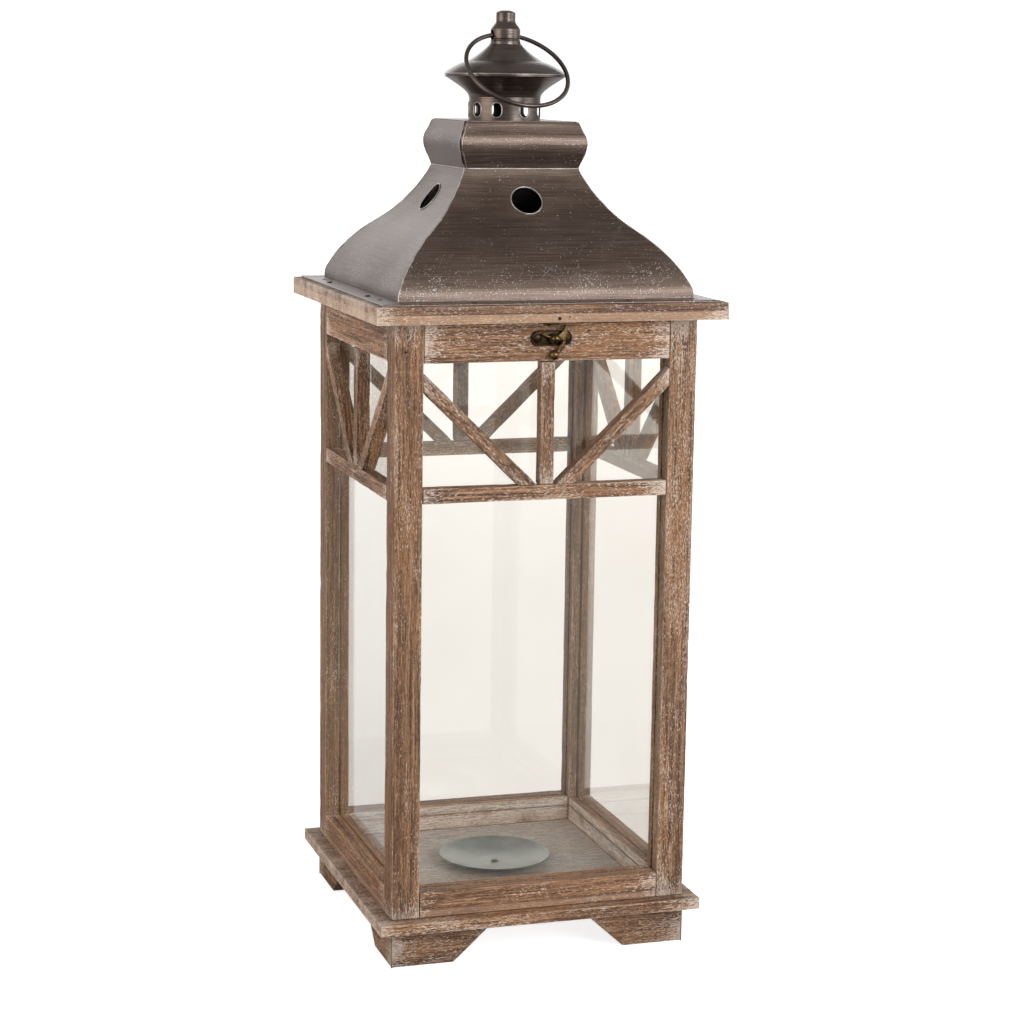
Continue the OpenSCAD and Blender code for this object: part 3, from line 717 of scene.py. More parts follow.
def bridge(bm, loops, closed=True):
    """Faces between neighbouring loops of vertices. A loop of one vertex is a tip."""
    for a, b in zip(loops, loops[1:]):
        count = max(len(a), len(b))
        if count == 1:
            continue
        for k in range(count if closed else count - 1):
            n = (k + 1) % count
            corners = (a[k % len(a)], a[n % len(a)], b[n % len(b)], b[k % len(b)])
            bm.faces.new(list(dict.fromkeys(corners)))


def tube(bm, points, radius, sides=8, closed=False):
    """A round rod along the points. radius is a number or one number for each point."""
    count = len(points)
    radii = radius if hasattr(radius, "__len__") else [radius] * count
    rings, side = [], None
    for i in range(count):
        before = points[i - 1] if closed or i else points[0]
        after = points[(i + 1) % count] if closed or i < count - 1 else points[-1]
        along = (after - before).normalized()
        if side is None:
            side = along.orthogonal().normalized()
        side = (side - along * side.dot(along)).normalized()
        ring = circle(points[i], side, along.cross(side), radii[i], sides)
        rings.append([bm.verts.new(p) for p in ring])
    bridge(bm, rings + rings[:1] if closed else rings)
    if not closed:
        bm.faces.new(list(reversed(rings[0])))
        bm.faces.new(rings[-1])


def lathe(profile, sides=128, rough=0.0, seed=0.0):
    """A turned body from a closed outline of (radius, height)."""
    bm = bmesh.new()
    rings = []
    for r, z in profile:
        if r < 1e-7:
            rings.append([bm.verts.new((0, 0, z))])
            continue
        ring = []
        for p in circle(UP * z, RIGHT, BACK, r, sides):
            share = 1 - rough * (0.5 + 0.5 * wobble(p, 60, seed)) / r
            ring.append(bm.verts.new((share * p.x, share * p.y, z)))
        rings.append(ring)
    bridge(bm, rings + rings[:1])
    bmesh.ops.recalc_face_normals(bm, faces=bm.faces)
    return bm


def uneven(points, radius, share, frequency, seed):
    """A radius for each point that wanders by a share of itself."""
    return [radius * (1 + share * wobble(p, frequency, seed)) for p in points]


def bead(name, bm, seed, material=WORN_METAL_AND_EDGE_GLINT):
    """Finishes solder, a burr or a crack as one piece of the roof."""
    piece = make_object(name, bm, material, smooth=80)
    around_grain(piece, seed)


def move(bm, by):
    bmesh.ops.translate(bm, vec=by, verts=bm.verts)


def add_box(bm, centre, size):
    made = bmesh.ops.create_cube(bm, size=1)
    bmesh.ops.scale(bm, vec=size, verts=made["verts"])
    bmesh.ops.translate(bm, vec=centre, verts=made["verts"])


def join(target, extra):
    """Adds one bmesh to another and frees the second."""
    mesh = mesh_from("joined", extra)
    target.from_mesh(mesh)
    bpy.data.meshes.remove(mesh)


# ---- sheet metal ----

SHEET = 1.1 * MM
BURR = 0.42 * MM
HOLE_TILT = math.radians(37)
HOLE_R = 10.5 * MM
HOLE_Z = HOOD_FOOT_Z + 62 * MM
FLANGE_HALF = -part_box("hood_front")[0].y
FOOT_HALF = 101 * MM
SLOT_AT = 77 * MM
SLOT_SIZE = Vector((6, 2, 6)) * MM


def mitre_profile(node, below=0.0):
    """Outer profile of a four-faced sheet piece as (half width, height), read off its mitre line."""
    rows = {}
    for v in frame["nodes"][node].data.vertices:
        if abs(abs(v.co.x) - abs(v.co.y)) < 0.02 * MM and v.co.z > below:
            key = round(v.co.z, 5)
            rows[key] = max(rows.get(key, 0.0), abs(v.co.y))
    return [(rows[z], z) for z in sorted(rows)]


def half_at(line, z):
    """Half width of a profile line at a height."""
    for (h0, z0), (h1, z1) in zip(line, line[1:]):
        if z0 <= z <= z1:
            return h0 + (h1 - h0) * (z - z0) / (z1 - z0)
    return line[-1][0]


def sheet_face(bm, line, degrees, dent, seed, columns=28):
    """One face of a four-faced sheet body: a skin that follows line between its two mitres."""
    spin = turn(degrees)
    outer, inner = [], []
    last = len(line) - 1
    for i, (half, z) in enumerate(line):
        slope = (Vector(line[min(i + 1, last)]) - Vector(line[max(i - 1, 0)])).normalized()
        normal = Vector((slope[1], -slope[0]))
        skin, lining = [], []
        for k in range(columns + 1):
            u = 2 * k / columns - 1
            free = (1 - u ** 4) * min(1.0, i / 3) * min(1.0, (last - i) / 3)
            sink = dent * free * (0.5 + 0.5 * wobble((u * half, z, degrees), 22, seed))
            h, height = half - normal[0] * sink, z - normal[1] * sink
            skin.append(bm.verts.new(spin @ Vector((u * half, -h, height))))
            h, height = half - normal[0] * (sink + SHEET), z - normal[1] * (sink + SHEET)
            lining.append(bm.verts.new(spin @ Vector((u * h, -h, height))))
        outer.append(skin)
        inner.append(lining)
    rims = [(outer[k], inner[k]) for k in (0, -1)]
    rims += [([row[k] for row in outer], [row[k] for row in inner]) for k in (0, -1)]
    for loops in [outer, inner] + rims:
        bridge(bm, loops, closed=False)


def build_hood():
    rows = mitre_profile("hood_front", below=HOOD_FOOT_Z + 1.2 * MM)
    line = smooth_line([(rows[0][0] + 0.4 * MM, HOOD_FOOT_Z + 0.2 * MM)] + rows, 52)
    for side, degrees in SIDES.items():
        build_hood_face(side, degrees, line)
        build_flange(side, degrees)
    build_seams("hood_seams", line, inset=0.15 * MM, thick=0.5 * MM, seed=5.0)
    build_scratches(line)


def build_hood_face(side, degrees, line):
    """One sheet of the hood with its tilted round hole and the burr round that."""
    spin = turn(degrees)
    bm = bmesh.new()
    sheet_face(bm, line, degrees, dent=0.7 * MM, seed=degrees / 37)
    bmesh.ops.recalc_face_normals(bm, faces=bm.faces)
    piece = make_object("hood_sheet_" + side, bm, METAL, replaces=["hood_" + side], smooth=38)
    centre = Vector((0, -half_at(line, HOLE_Z), HOLE_Z))
    axis = Vector((0, -math.cos(HOLE_TILT), math.sin(HOLE_TILT)))
    reach = axis * 15 * MM
    cutter = bmesh.new()
    tube(cutter, [spin @ (centre - reach), spin @ (centre + reach)], HOLE_R, 48)
    cut(piece, cutter, 38)
    across_grain(piece, degrees, seed=degrees * 0.01)

    # the burr round the hole is bright metal that also paints the highlight on the hole's edge
    edge = circle(centre, RIGHT, RIGHT.cross(axis), HOLE_R, 72)
    for p in edge:
        p.y = -half_at(line, p.z) + 0.35 * MM
    rim = bmesh.new()
    tube(rim, [spin @ p for p in edge], uneven(edge, BURR, 0.3, 300, degrees), closed=True)
    bead("hood_hole_rim_" + side, rim, seed=0.3)


def build_scratches(line):
    """The crossed scratches low on the front face, as raised bright burrs."""
    bm = bmesh.new()
    # x and height above the hood's foot, at both ends, in millimetres
    for x0, z0, x1, z1 in ((-8, 23, 7, 14), (-6, 13, 5, 22), (-3, 24, 9, 17)):
        points, radii = [], []
        for k in range(17):
            t = k / 16
            z = HOOD_FOOT_Z + (z0 + (z1 - z0) * t) * MM
            points.append(Vector(((x0 + (x1 - x0) * t) * MM, 0.05 * MM - half_at(line, z), z)))
            taper = math.sin(math.pi * (0.06 + 0.88 * t))
            radii.append(0.13 * MM * (0.7 + 0.6 * wobble(points[-1], 400, x0)) * taper)
        tube(bm, points, radii, sides=5)
    bead("hood_scratches", bm, seed=7.7)


def build_flange(side, degrees):
    """One mitred strip of the nailing flange, with two slots and a turned-down outer edge."""
    spin = turn(degrees)
    foot = HOOD_FOOT_Z + 0.05 * MM
    # half width and thickness across the strip, from the hood outwards
    section = [(FOOT_HALF - 1.4 * MM, 1.2), (FOOT_HALF + 0.2 * MM, 1.04), (FOOT_HALF + 1.6 * MM, 0.8),
               (FLANGE_HALF - 1.2 * MM, 0.8), (FLANGE_HALF - 0.4 * MM, 0.72),
               (FLANGE_HALF - 0.1 * MM, 0.44), (FLANGE_HALF - 0.1 * MM, 0), (FOOT_HALF - 1.4 * MM, 0)]
    bm = bmesh.new()
    columns = 60
    rows = []
    for half, thick in section:
        row = []
        for k in range(columns + 1):
            u = 2 * k / columns - 1
            lift = 0.14 * MM * (1 + wobble((u * half, half, degrees), 18, 2.0)) if thick else 0
            row.append(bm.verts.new(spin @ Vector((u * half, -half, foot + thick * MM + lift))))
        rows.append(row)
    bridge(bm, rows + rows[:1], closed=False)
    for k in (0, -1):
        bm.faces.new([row[k] for row in rows])
    bmesh.ops.recalc_face_normals(bm, faces=bm.faces)
    piece = make_object("hood_flange_" + side, bm, METAL, smooth=50)
    cutter = bmesh.new()
    for s in (-1, 1):
        at = spin @ Vector((s * SLOT_AT, -FOOT_HALF - 4 * MM, foot))
        add_box(cutter, at, [abs(size) for size in spin @ SLOT_SIZE])
    cut(piece, cutter, 50)
    across_grain(piece, degrees, seed=2 + degrees * 0.01)


def build_seams(name, line, inset, thick, seed, material=WORN_METAL_AND_EDGE_GLINT, sides=SIDES.values(), beside=0.0):
    """Irregular solder beads up the mitres, or beside them."""
    bm = bmesh.new()
    for k, degrees in enumerate(sides):
        spin = turn(degrees)
        points, radii = [], []
        for half, z in smooth_line(line, 150):
            stray = 0.22 * MM * wobble((z, half, k), 190, seed)
            points.append(spin @ Vector((inset - half + beside + stray, inset - half - stray, z)))
            radii.append(thick * (0.75 + 0.45 * wobble((z, k, half), 260, seed + 4)))
        tube(bm, points, radii, sides=7)
    bead(name, bm, seed, material)


def build_collar():
    low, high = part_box("collar_box")
    # the row just under the top belongs to the inside of the top plate
    rows = [p for p in mitre_profile("collar_box") if not high.z - 3 * MM < p[1] < high.z - 0.2 * MM]
    line = smooth_line(rows, 26)
    line = [Vector((h - 0.02 * MM, min(z, high.z - 0.5 * MM))) for h, z in line]
    bm = bmesh.new()
    for degrees in SIDES.values():
        sheet_face(bm, line, degrees, dent=0.5 * MM, seed=7 + degrees / 50, columns=20)
    square_ring(bm, line[-1][0] - 0.3 * MM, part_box("chimney")[1].x - 0.6 * MM, high.z - 1.0 * MM, high.z)
    bmesh.ops.recalc_face_normals(bm, faces=bm.faces)
    piece = make_object("collar_sheet", bm, METAL, replaces=["collar_box"], smooth=38)
    across_grain(piece, 0, seed=0.7)
    build_seams("collar_seams", line, 0.1 * MM, 0.42 * MM, seed=15.0, sides=(90, 180, 270))
    # the front left mitre of the collar has opened, with solder beside it; the opening is a near-black
    # bead, painted shade of the crack
    build_seams("collar_crack_shade", line, 0.35 * MM, 0.8 * MM, seed=23.0, material=SHADED_RECESS_METAL, sides=(0,))
    build_seams("collar_solder_left", line, 0.2 * MM, 0.4 * MM, seed=27.0, sides=(0,), beside=-0.25 * MM)
    build_seams("collar_solder_right", line, 0.12 * MM, 0.34 * MM, seed=31.0, sides=(0,), beside=1.7 * MM)
    half = line[0][0] + 0.2 * MM
    corners = [Vector((x * half, y * half, low.z)) for x, y in ((-1, -1), (1, -1), (1, 1), (-1, 1))]
    points = []
    for a, b in zip(corners, corners[1:] + corners[:1]):
        points += [a.lerp(b, t / 24) for t in range(24)]
    lip = bmesh.new()
    tube(lip, points, uneven(points, 0.4 * MM, 0.35, 150, 2.2), sides=7, closed=True)
    bead("collar_joint", lip, seed=0.9)


def square_ring(bm, half, radius, z0, z1):
    """A square plate with a round hole."""
    count = 96
    loops = []
    for z, inside in ((z1, False), (z1, True), (z0, True), (z0, False)):
        loop = []
        for k in range(count):
            angle = 2 * math.pi * (k + 0.5) / count
            c, s = math.cos(angle), math.sin(angle)
            reach = radius if inside else half / max(abs(c), abs(s))
            loop.append(bm.verts.new((reach * c, reach * s, z)))
        loops.append(loop)
    bridge(bm, loops + loops[:1])


# ---- turned metal ----

VENT_ANGLES = (32, 65, 98, 133, 168, 204, 240, 286, 325, 359)
VENT_W = 6.8 * MM
VENT_H = 9.6 * MM
VENT_Z = 6.6 * MM
VENT_RIM = 0.3 * MM
RING_WIRE_R = 1.5 * MM


def outer_line(node, steps):
    """Outer profile of a turned CAD node as (radius, height), felt out by level rays towards its axis."""
    low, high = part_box(node)
    line = []
    for k in range(steps + 1):
        part = min(max(k / steps, 0.002), 0.998)
        start = BACK * 0.2 + UP * (low.z + (high.z - low.z) * part)
        hit, place, _, _ = frame["nodes"][node].ray_cast(start, -BACK)
        if hit:
            line.append((math.hypot(place.x, place.y), low.z + (high.z - low.z) * k / steps))
    return line


def inset_line(line, sideways, upwards):
    """The same profile moved inwards and up or down, in reverse order."""
    return [(max(r - sideways, 1 * MM), z + upwards) for r, z in reversed(line)]


def turned_piece(name, node, outline, grain, smooth=40, sides=128, rough=0.0, seed=0.0):
    """A lathe piece of dark metal in place of a CAD node."""
    bm = lathe(outline, sides, rough, seed)
    piece = make_object(name, bm, TURNED_METAL, replaces=[node], smooth=smooth)
    around_grain(piece, grain)
    return piece


def build_chimney():
    low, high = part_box("chimney")
    r = high.x
    levels = [low.z + (high.z - low.z) * k / 8 for k in range(9)]
    outline = [(r - 0.1 * MM, z) for z in levels] + [(r - 1.0 * MM, z) for z in reversed(levels)]
    piece = turned_piece("chimney_tube", "chimney", outline, grain=1.1, sides=144)
    cutter, burr = bmesh.new(), bmesh.new()
    centre = UP * (low.z + VENT_Z)
    for i, degrees in enumerate(VENT_ANGLES):
        out, across = turn(degrees) @ RIGHT, turn(degrees) @ BACK
        ends = []
        for reach in (r - 5 * MM, r + 5 * MM):
            ends.append([cutter.verts.new(centre + out * reach - across * y + UP * x)
                         for x, y in oblong(VENT_H, VENT_W, 12)])
        bridge(cutter, ends)
        for end in ends:
            cutter.faces.new(end)
        points = []
        for x, y in oblong(VENT_H + VENT_RIM, VENT_W + VENT_RIM, 14):
            depth = math.sqrt(r * r - y * y) - 0.1 * MM
            points.append(centre + out * depth - across * y + UP * x)
        tube(burr, points, uneven(points, BURR, 0.35, 420, i), sides=7, closed=True)
    cut(piece, cutter)
    around_grain(piece, seed=1.1)
    bead("vent_rims", burr, seed=1.3)


def build_cap():
    low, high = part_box("cap_upper")
    rim_r = high.x - 0.15 * MM
    hem_top = low.z + 2.3 * MM
    line = [(r - 0.15 * MM, z) for r, z in outer_line("cap_upper", 46)]
    hem = [p for p in line if p[1] < hem_top]
    skirt = smooth_line([p for p in line if p[1] >= hem_top], 70)
    inside = [p for p in inset_line(skirt, 1.3 * MM, -1.0 * MM) if p[1] > low.z + 1.2 * MM]
    outline = [(rim_r - 1.2 * MM, low.z), (rim_r - 0.4 * MM, low.z)] + hem[1:] + skirt + inside
    turned_piece("cap_skirt", "cap_upper", outline, grain=1.5, smooth=35, rough=0.12 * MM, seed=3)

    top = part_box("cap_lower")[1].z
    under = smooth_line([(r - 0.1 * MM, z) for r, z in outer_line("cap_lower", 30)], 44)
    inner = [(max(r, 23.2 * MM), min(z, top)) for r, z in inset_line(under, 1.1 * MM, 0.4 * MM)]
    turned_piece("cap_flare", "cap_lower", under + inner, grain=1.7, smooth=50, rough=0.1 * MM, seed=4)
    ridge = bmesh.new()
    points = circle(UP * (low.z + 1.9 * MM), RIGHT, BACK, rim_r - 0.35 * MM, 120)
    tube(ridge, points, uneven(points, 0.45 * MM, 0.3, 120, 8), sides=7, closed=True)
    bead("cap_hem_edge", ridge, seed=1.9)


def joint_place(name):
    for joint in frame["joints"]:
        if joint["name"] == name:
            return Vector(joint["pos_m"])
    raise ValueError("no joint named " + name)


def build_knob():
    low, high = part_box("knob")
    pivot = joint_place("ring_swing")
    groove = pivot.z - 3.0 * MM
    line = []
    for r, z in outer_line("knob", 60):
        if z < high.z - 0.8 * MM:
            dip = 0.35 * MM * math.exp(-((z - groove) / (0.5 * MM)) ** 2)
            line.append((r - 0.08 * MM - dip, z))
    crown = [(3.4 * MM, high.z - 0.12 * MM), (0.0, high.z)]
    smooth = [(r, min(z, high.z)) for r, z in smooth_line(line + crown, 120)]
    smooth[-1] = (0.0, high.z)
    outline = [(0.0, low.z + 0.02 * MM)] + smooth
    piece = turned_piece("knob_turned", "knob", outline, grain=2.1, smooth=50, sides=112, rough=0.08 * MM,
                         seed=6)
    cutter = bmesh.new()
    ends = [UP * pivot.z - RIGHT * 20 * MM, UP * pivot.z + RIGHT * 20 * MM]
    tube(cutter, ends, 3.75 * MM, 48)
    cut(piece, cutter, 50)
    around_grain(piece, seed=2.1)


def build_ring():
    """The wire ring, fitted to its CAD solid by the solid's own plane and size."""
    verts = [v.co.copy() for v in frame["nodes"]["ring"].data.vertices]
    centre = sum(verts, Vector()) / len(verts)
    down = (centre - joint_place("ring_swing")).normalized()
    radius = max((v - centre).length for v in verts) - RING_WIRE_R
    side = down.orthogonal().normalized()
    normals = [turn(degrees, down) @ side for degrees in range(180)]
    # the ring's plane is the one through its middle that its points stray from least
    normal = min(normals, key=lambda n: max(abs((v - centre).dot(n)) for v in verts))
    across = down.cross(normal).normalized()
    points = circle(centre, down, across, radius, 200)
    radii = [RING_WIRE_R - 0.1 * MM * (0.5 + 0.5 * wobble(p, 70, 4)) for p in points]
    bm = bmesh.new()
    tube(bm, points, radii, sides=20, closed=True)
    piece = make_object("ring_wire", bm, TURNED_METAL, body="ring", replaces=["ring"], smooth=80)
    values = []
    for v in piece.data.vertices:
        q = v.co - centre
        angle = math.atan2(q.dot(across), q.dot(down))
        values.append((20 * MM * math.cos(angle), q.dot(normal) * 0.6, (q.length - radius) * 0.6))
    set_vectors(piece.data, "grain", values)


# ---- candle dish ----

def mm_points(points, base=0.0):
    """Points in millimetres, with heights above base, as metres."""
    return [(r * MM, base + z * MM) for r, z in points]


def build_dish():
    low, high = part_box("candle_dish")
    r = high.x / MM
    rise = (high.z - low.z) / MM
    top = [(0.0, 0.8), (4.0, 0.8), (9.0, 0.85), (14.0, 1.15), (20.0, 2.1), (26.0, 3.5), (32.0, 5.2),
           (36.5, 6.75), (r - 0.9, rise - 0.15), (r - 0.35, rise - 0.02), (r - 0.05, rise - 0.3)]
    under = [(r - 0.2, rise - 0.75), (r - 1.4, rise - 1.15), (32.0, 4.35), (26.0, 2.65), (20.0, 1.25),
             (14.0, 0.32), (9.0, 0.0), (0.0, 0.0)]
    upper = smooth_line(mm_points(top, low.z), 70)
    lower = smooth_line(mm_points(under, low.z), 50)
    upper[0], lower[-1] = (0.0, upper[0][1]), (0.0, low.z)
    piece = make_object("dish_spun", lathe(upper + lower, sides=144), STEEL, body="frame",
                        replaces=["candle_dish"], smooth=50)
    around_grain(piece, seed=2.3)
    head = domed_screw(2.9 * MM, 1.5 * MM, 0.7 * MM)
    move(head, UP * (low.z + 0.75 * MM))
    screw = make_object("dish_screw_head", head, DARK_STEEL, body="frame",
                        replaces=["dish_screw"], smooth=35)
    around_grain(screw, seed=2.5)


def domed_screw(radius, height, slot):
    """A domed screw head with a cross recess, standing on z = 0."""
    shoulder = height * 0.25
    dome = [(radius * math.cos(a), shoulder + (height - shoulder) * math.sin(a))
            for a in (math.pi / 2 * k / 10 for k in range(1, 10))]
    outline = [(0.0, 0.0), (radius, 0.0), (radius, shoulder)] + dome + [(0.0, height)]
    piece = add_object("head", mesh_from("head", lathe(outline, sides=48)))
    long, narrow = radius * 1.25, slot * 0.75
    for x, y in ((long, narrow), (narrow, long)):
        cutter = bmesh.new()
        add_box(cutter, UP * height, (x, y, height * 0.9))
        cut(piece, cutter)
    done = bmesh.new()
    done.from_mesh(piece.data)
    bpy.data.objects.remove(piece)
    return done


# ---- latch ----

# how far forward the hub and the blade begin, and in millimetres where the arm and the tail run
LATCH_BACK = -103.5 * MM
BLADE_BACK = -104.4 * MM
ARM_Y = -105.35
TAIL_Y = -105.45


def plate_from_outline(outline, thickness, edge):
    """A flat plate in the x-z plane whose front arris is rounded; it stands from y = 0 towards -Y."""
    bm = bmesh.new()
    layers = [(0.0, 0.0)]
    for angle in (math.pi / 2 * k / 3 for k in range(4)):
        layers.append((edge * (1 - math.cos(angle)), thickness - edge + edge * math.sin(angle)))
    rings = []
    for inset, depth in layers:
        ring = []
        for i, p in enumerate(outline):
            before, after = Vector(outline[i - 1]), Vector(outline[(i + 1) % len(outline)])
            along = (after - before).normalized()
            q = Vector(p) + Vector((-along[1], along[0])) * inset
            ring.append(bm.verts.new((q[0], -depth, q[1])))
        rings.append(ring)
    bridge(bm, rings)
    bm.faces.new(rings[0])
    bm.faces.new(list(reversed(rings[-1])))
    bmesh.ops.recalc_face_normals(bm, faces=bm.faces)
    return bm


def face_front(bm, at):
    """Turns what stands on z = 0 so that it stands out of the front, and moves it."""
    bmesh.ops.rotate(bm, matrix=turn(90, "X"), verts=bm.verts)
    move(bm, at)


def behind_middle(node, y):
    """The middle of a node as seen from the front, at the given depth."""
    low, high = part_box(node)
    return Vector(((low.x + high.x) / 2, y, (low.z + high.z) / 2))


def latch_piece(name, node, bm, material, smooth, body="frame"):
    make_object(name, bm, material, body=body, replaces=[node], smooth=smooth)


def build_latch():
    low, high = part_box("latch_plate")
    centre = behind_middle("latch_plate", high.y)
    length, thick, height = high - low
    bm = plate_from_outline(oblong(length, height, 20), 0.75 * thick, 0.35 * MM)
    rim = [Vector((x, -0.72 * thick, z)) for x, z in oblong(length - 1.3 * MM, height - 1.3 * MM, 20)]
    tube(bm, rim, 0.42 * MM, sides=10, closed=True)
    move(bm, centre)
    latch_piece("latch_plate_rimmed", "latch_plate", bm, DARK_BRASS, 40)

    seat = behind_middle("latch_screws", low.y + 0.28 * MM)
    heads = bmesh.new()
    for s in (-1, 1):
        head = domed_screw(2.5 * MM, 0.95 * MM, 0.6 * MM)
        bmesh.ops.rotate(head, matrix=turn(35 + 20 * s), verts=head.verts)
        face_front(head, (seat.x + s * 9.5 * MM, seat.y, centre.z))
        join(heads, head)
    latch_piece("latch_screw_heads", "latch_screws", heads, DARK_BRASS, 35)

    pin = behind_middle("latch_rivet", high.y)
    build_rivet(pin)
    build_hook(pin)


def build_rivet(pin):
    """The pivot: a pin that ends in half a ball."""
    low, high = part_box("latch_rivet")
    ball, reach = (high.z - low.z) / 2, pin.y - low.y
    pin_r, sunk = 1.55 * MM, -2 * MM
    back = reach - ball * 1.05
    outline = [(0.0, sunk), (pin_r, sunk), (pin_r, back), (ball * 0.8, back + 0.2 * MM)]
    outline += arc((0.0, reach - ball), ball, 0, 90, 14)
    outline[-1] = (0.0, reach)
    rivet = lathe(outline, sides=48)
    face_front(rivet, pin)
    latch_piece("latch_rivet_ball", "latch_rivet", rivet, BRASS, 50)


def build_hook(pin):
    """Hub, crescent blade, thin arm and a tail that ends in a ball. Millimetres about the pivot."""
    parts = bmesh.new()
    hub = lathe(mm_points([(1.65, 0), (3.1, 0), (3.3, 0.4), (3.25, 1.5), (3.0, 2.3), (2.5, 2.9), (1.9, 3.3),
                           (1.65, 3.35)]), sides=48)
    face_front(hub, BACK * LATCH_BACK)
    join(parts, hub)
    blade = ([(1.4, -1.2), (3.6, -2.5), (6.2, -2.6), (7.6, -1.2)] + arc((-2.1, 5.6), 10.85, -30, 10, 12)
             + [(8.4, 8.0), (7.6, 8.6), (6.6, 8.5), (6.3, 7.4)] + arc((-0.6, 9.0), 7.0, -12, -66, 12))
    flat = plate_from_outline(mm_points(blade), 1.7 * MM, 0.5 * MM)
    move(flat, BACK * BLADE_BACK)
    join(parts, flat)
    arm = [Vector((x, ARM_Y, z)) * MM
           for x, z in ((-2.0, 0.8), (-3.6, 1.1), (-5.4, 1.7), (-7.0, 2.5), (-8.2, 3.2))]
    tube(parts, arm, [r * MM for r in (0.9, 0.85, 0.75, 0.65, 0.75)], sides=12)
    steps = 16
    line = smooth_line([(5.6, -1.6), (5.5, -3.2), (4.4, -5.6), (2.8, -7.8), (1.2, -9.6)], steps)
    tail = [Vector((x, TAIL_Y, z)) * MM for x, z in line]
    widths = []
    for part in (k / steps for k in range(steps + 1)):
        widths.append((2.0 - 0.45 * abs(2 * part - 0.7) + 1.5 * max(part - 0.7, 0)) * MM)
    tube(parts, tail, widths, sides=14)
    for x, y, z, r in ((5.7, -105.75, -2.4, 1.45), (0.0, -105.5, -10.6, 3.35)):
        ball = bmesh.ops.create_uvsphere(parts, u_segments=32, v_segments=20, radius=r * MM)
        bmesh.ops.translate(parts, vec=Vector((x, y, z)) * MM, verts=ball["verts"])
    move(parts, (pin.x, 0, pin.z))
    latch_piece("latch_hook_cast", "latch_hook", parts, BRASS, 45, body="hook")


# ---- CAD nodes that keep their shape ----

# each with its material and the width of its soft edges in millimetres
KEPT_NODES = {
    "hinge_frame_leaves": (BRASS, 0.25), "hinge_pins": (BRASS, 0.25), "hinge_frame_screws": (BRASS, 0.15),
    "hinge_roof_leaves": (BRASS, 0.25), "hinge_roof_screws": (BRASS, 0.15), "latch_catch": (BRASS, 0.2),
    "catch_screw": (BRASS, 0.15), "hood_nails": (TURNED_METAL, 0.2), "pane_front": (GLASS, 0),
    "pane_back": (GLASS, 0), "pane_left": (GLASS, 0), "pane_right": (GLASS, 0)}


def finish_kept_nodes():
    for node, (material, edge) in KEPT_NODES.items():
        piece = frame["nodes"][node]
        piece.data.materials.clear()
        piece.data.materials.append(material)
        if edge:
            bevel_edges = piece.modifiers.new("soft_edges", "BEVEL")
            bevel_edges.width = edge * MM
            bevel_edges.segments = 2
            bevel_edges.limit_method = "ANGLE"
            bevel_edges.angle_limit = math.radians(40)


# ---- stage, light and camera ----

LIGHT_TARGET = Vector((0, 0, 0.33))
FLOOR_R = 200
FLOOR_DROP = 0.2 * MM
AZIMUTH = math.radians(-17.763)
ELEVATION = math.radians(10.065)
ROLL = math.radians(0.837)
DISTANCE = 1.7152
AIM_RIGHT = 0.00895
AIM_HEIGHT = 0.28244
LENS = 87.84


def build_stage():
    """A wide pale floor, lit bright near the lantern, that runs out to white."""
    bm = bmesh.new()
    bmesh.ops.create_circle(bm, cap_ends=True, segments=64, radius=FLOOR_R)
    floor = add_object("floor", mesh_from("floor", bm))
    floor.location.z = -FLOOR_DROP
    s = Shader(bpy.data.materials.new("pale_floor"))
    near = s.vector("LENGTH", s.place(), output="Value")
    behind = s.ease(s.split(s.place())[1], -0.3, 1.2)
    through = s.ray("Transmission")
    spill = s.ease(near, 1.2, 6.0, 0.55, 0.2) * s.ease(behind, 0.0, 1.0, 0.02, 1.0)
    bright = s.ease(near, 0.5, 4.0, 0.8, 1.05) * s.ease(through, 0.0, 1.0, 1.0, 1.2)
    glow = s.out("ShaderNodeMix", 0, {0: s.largest(s.ray("Camera"), through), 2: spill, 3: bright})
    albedo = s.ease(s.ray("Glossy"), 0.0, 1.0, 0.85, 0.08) * s.ease(through, 0.0, 1.0, 1.0, 0.2)
    pale = s.finish({"Base Color": s.grey(albedo), "Roughness": 0.9, "Specular IOR Level": 0.1,
                     "Emission Color": (1, 1, 1, 1), "Emission Strength": glow})
    floor.data.materials.append(pale)


def area_light(name, place, size, power, tint=(1, 1, 1)):
    """A rectangular lamp that looks at the middle of the lantern."""
    data = bpy.data.lights.new(name, "AREA")
    data.shape = "RECTANGLE"
    data.size, data.size_y = size
    data.energy = power
    data.color = tint
    lamp = add_object(name, data)
    lamp.location = place
    lamp.rotation_euler = (LIGHT_TARGET - Vector(place)).to_track_quat("-Z", "Y").to_euler()


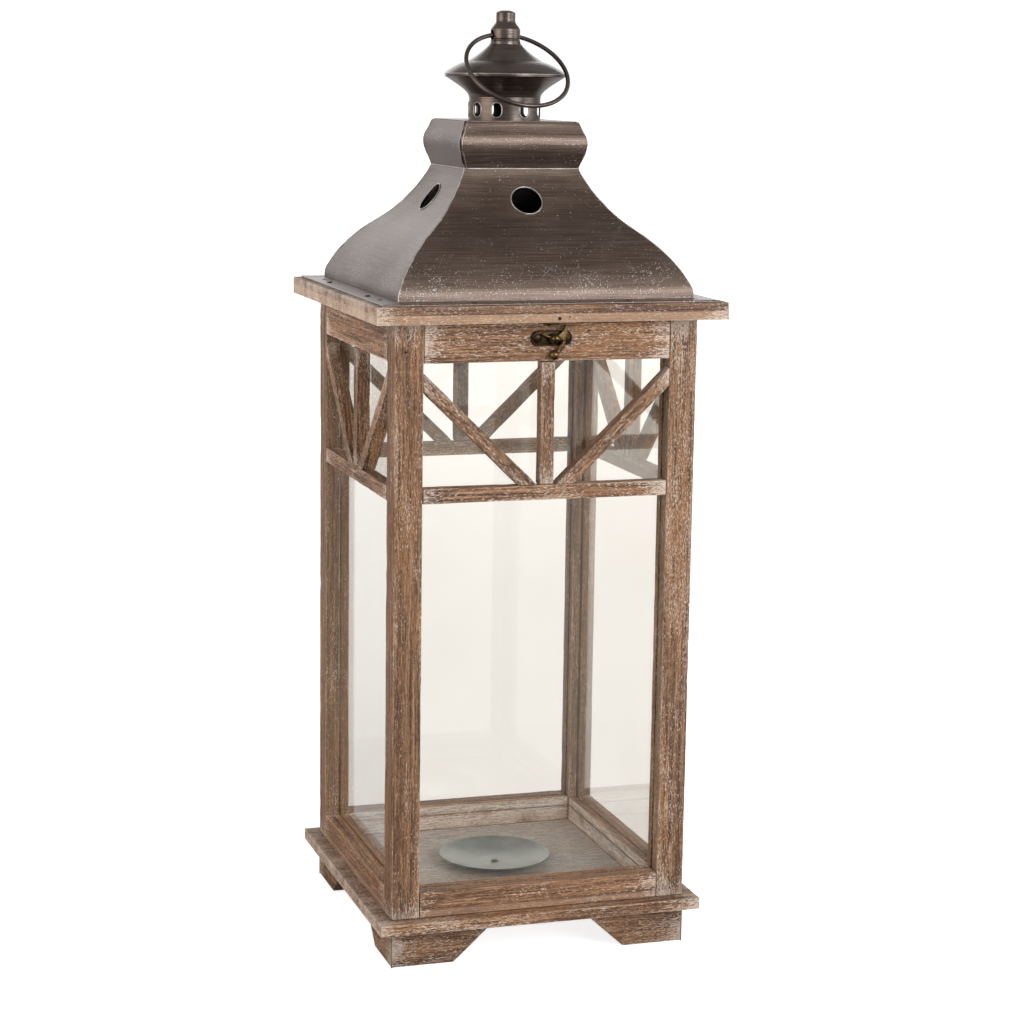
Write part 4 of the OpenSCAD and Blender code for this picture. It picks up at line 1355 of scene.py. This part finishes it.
def build_lights():
    area_light("left_box", (-2.4, -0.6, 0.8), (1.8, 2.0), 27, (1, 0.92, 0.84))
    area_light("front_box", (0.95, -2.4, 1.2), (1.1, 1.3), 36, (0.92, 0.97, 1))
    area_light("right_box", (2.3, -1.0, 0.8), (1.6, 1.6), 14)
    area_light("back_box", (0.4, 2.5, 1.0), (2.2, 1.6), 12)
    build_world()
    bpy.context.scene.view_settings.view_transform = "Standard"


def build_world():
    """White to the camera; for lighting it is bright at the horizon and dim overhead."""
    world = bpy.data.worlds.new("studio")
    bpy.context.scene.world = world
    s = Shader(world)
    way = s.split(s.out("ShaderNodeTexCoord", "Generated"))
    dim_front = s.ease(way[1], -0.2, -0.8, 0.0, 0.24) * s.ease(way[2], 0.3, 0.06)
    strength = s.ease(way[2], 0.0, 0.55, 0.72, 0.3) + s.ease(way[0], 0.1, -0.9, 0.0, 0.06) - dim_front
    lit = s.out("ShaderNodeBackground", 0, {"Color": (0.985, 0.992, 1, 1), "Strength": strength})
    through = s.ray("Transmission")
    white = s.ease(through, 0.0, 1.0, 1.05, 1.15)
    seen = s.out("ShaderNodeBackground", 0, {"Color": (1, 1, 1, 1), "Strength": white})
    straight = s.largest(s.ray("Camera"), through)
    both = s.out("ShaderNodeMixShader", 0, {0: straight, 1: lit, 2: seen})
    s.add("ShaderNodeOutputWorld", {"Surface": both})


def build_camera():
    """Stands where the picture was taken from: left of the front and a little above."""
    towards = Vector((math.sin(AZIMUTH) * math.cos(ELEVATION), -math.cos(AZIMUTH) * math.cos(ELEVATION),
                      math.sin(ELEVATION)))
    level_right = (-towards).cross(UP).normalized()
    level_up = level_right.cross(-towards)
    right = math.cos(ROLL) * level_right + math.sin(ROLL) * level_up
    up = -math.sin(ROLL) * level_right + math.cos(ROLL) * level_up
    data = bpy.data.cameras.new("camera")
    data.lens = LENS
    data.sensor_width = 36
    data.clip_end = 50
    camera = add_object("camera", data)
    place = towards * DISTANCE + AIM_RIGHT * level_right + UP * AIM_HEIGHT
    rotation = Matrix((right, up, towards)).transposed()
    camera.matrix_world = Matrix.Translation(place) @ rotation.to_4x4()
    bpy.context.scene.camera = camera


build_camera()
build_stage()
build_lights()
build_frame_wood()
build_roof_wood()
build_hood()
build_collar()
build_chimney()
build_cap()
build_knob()
build_ring()
build_dish()
build_latch()
finish_kept_nodes()
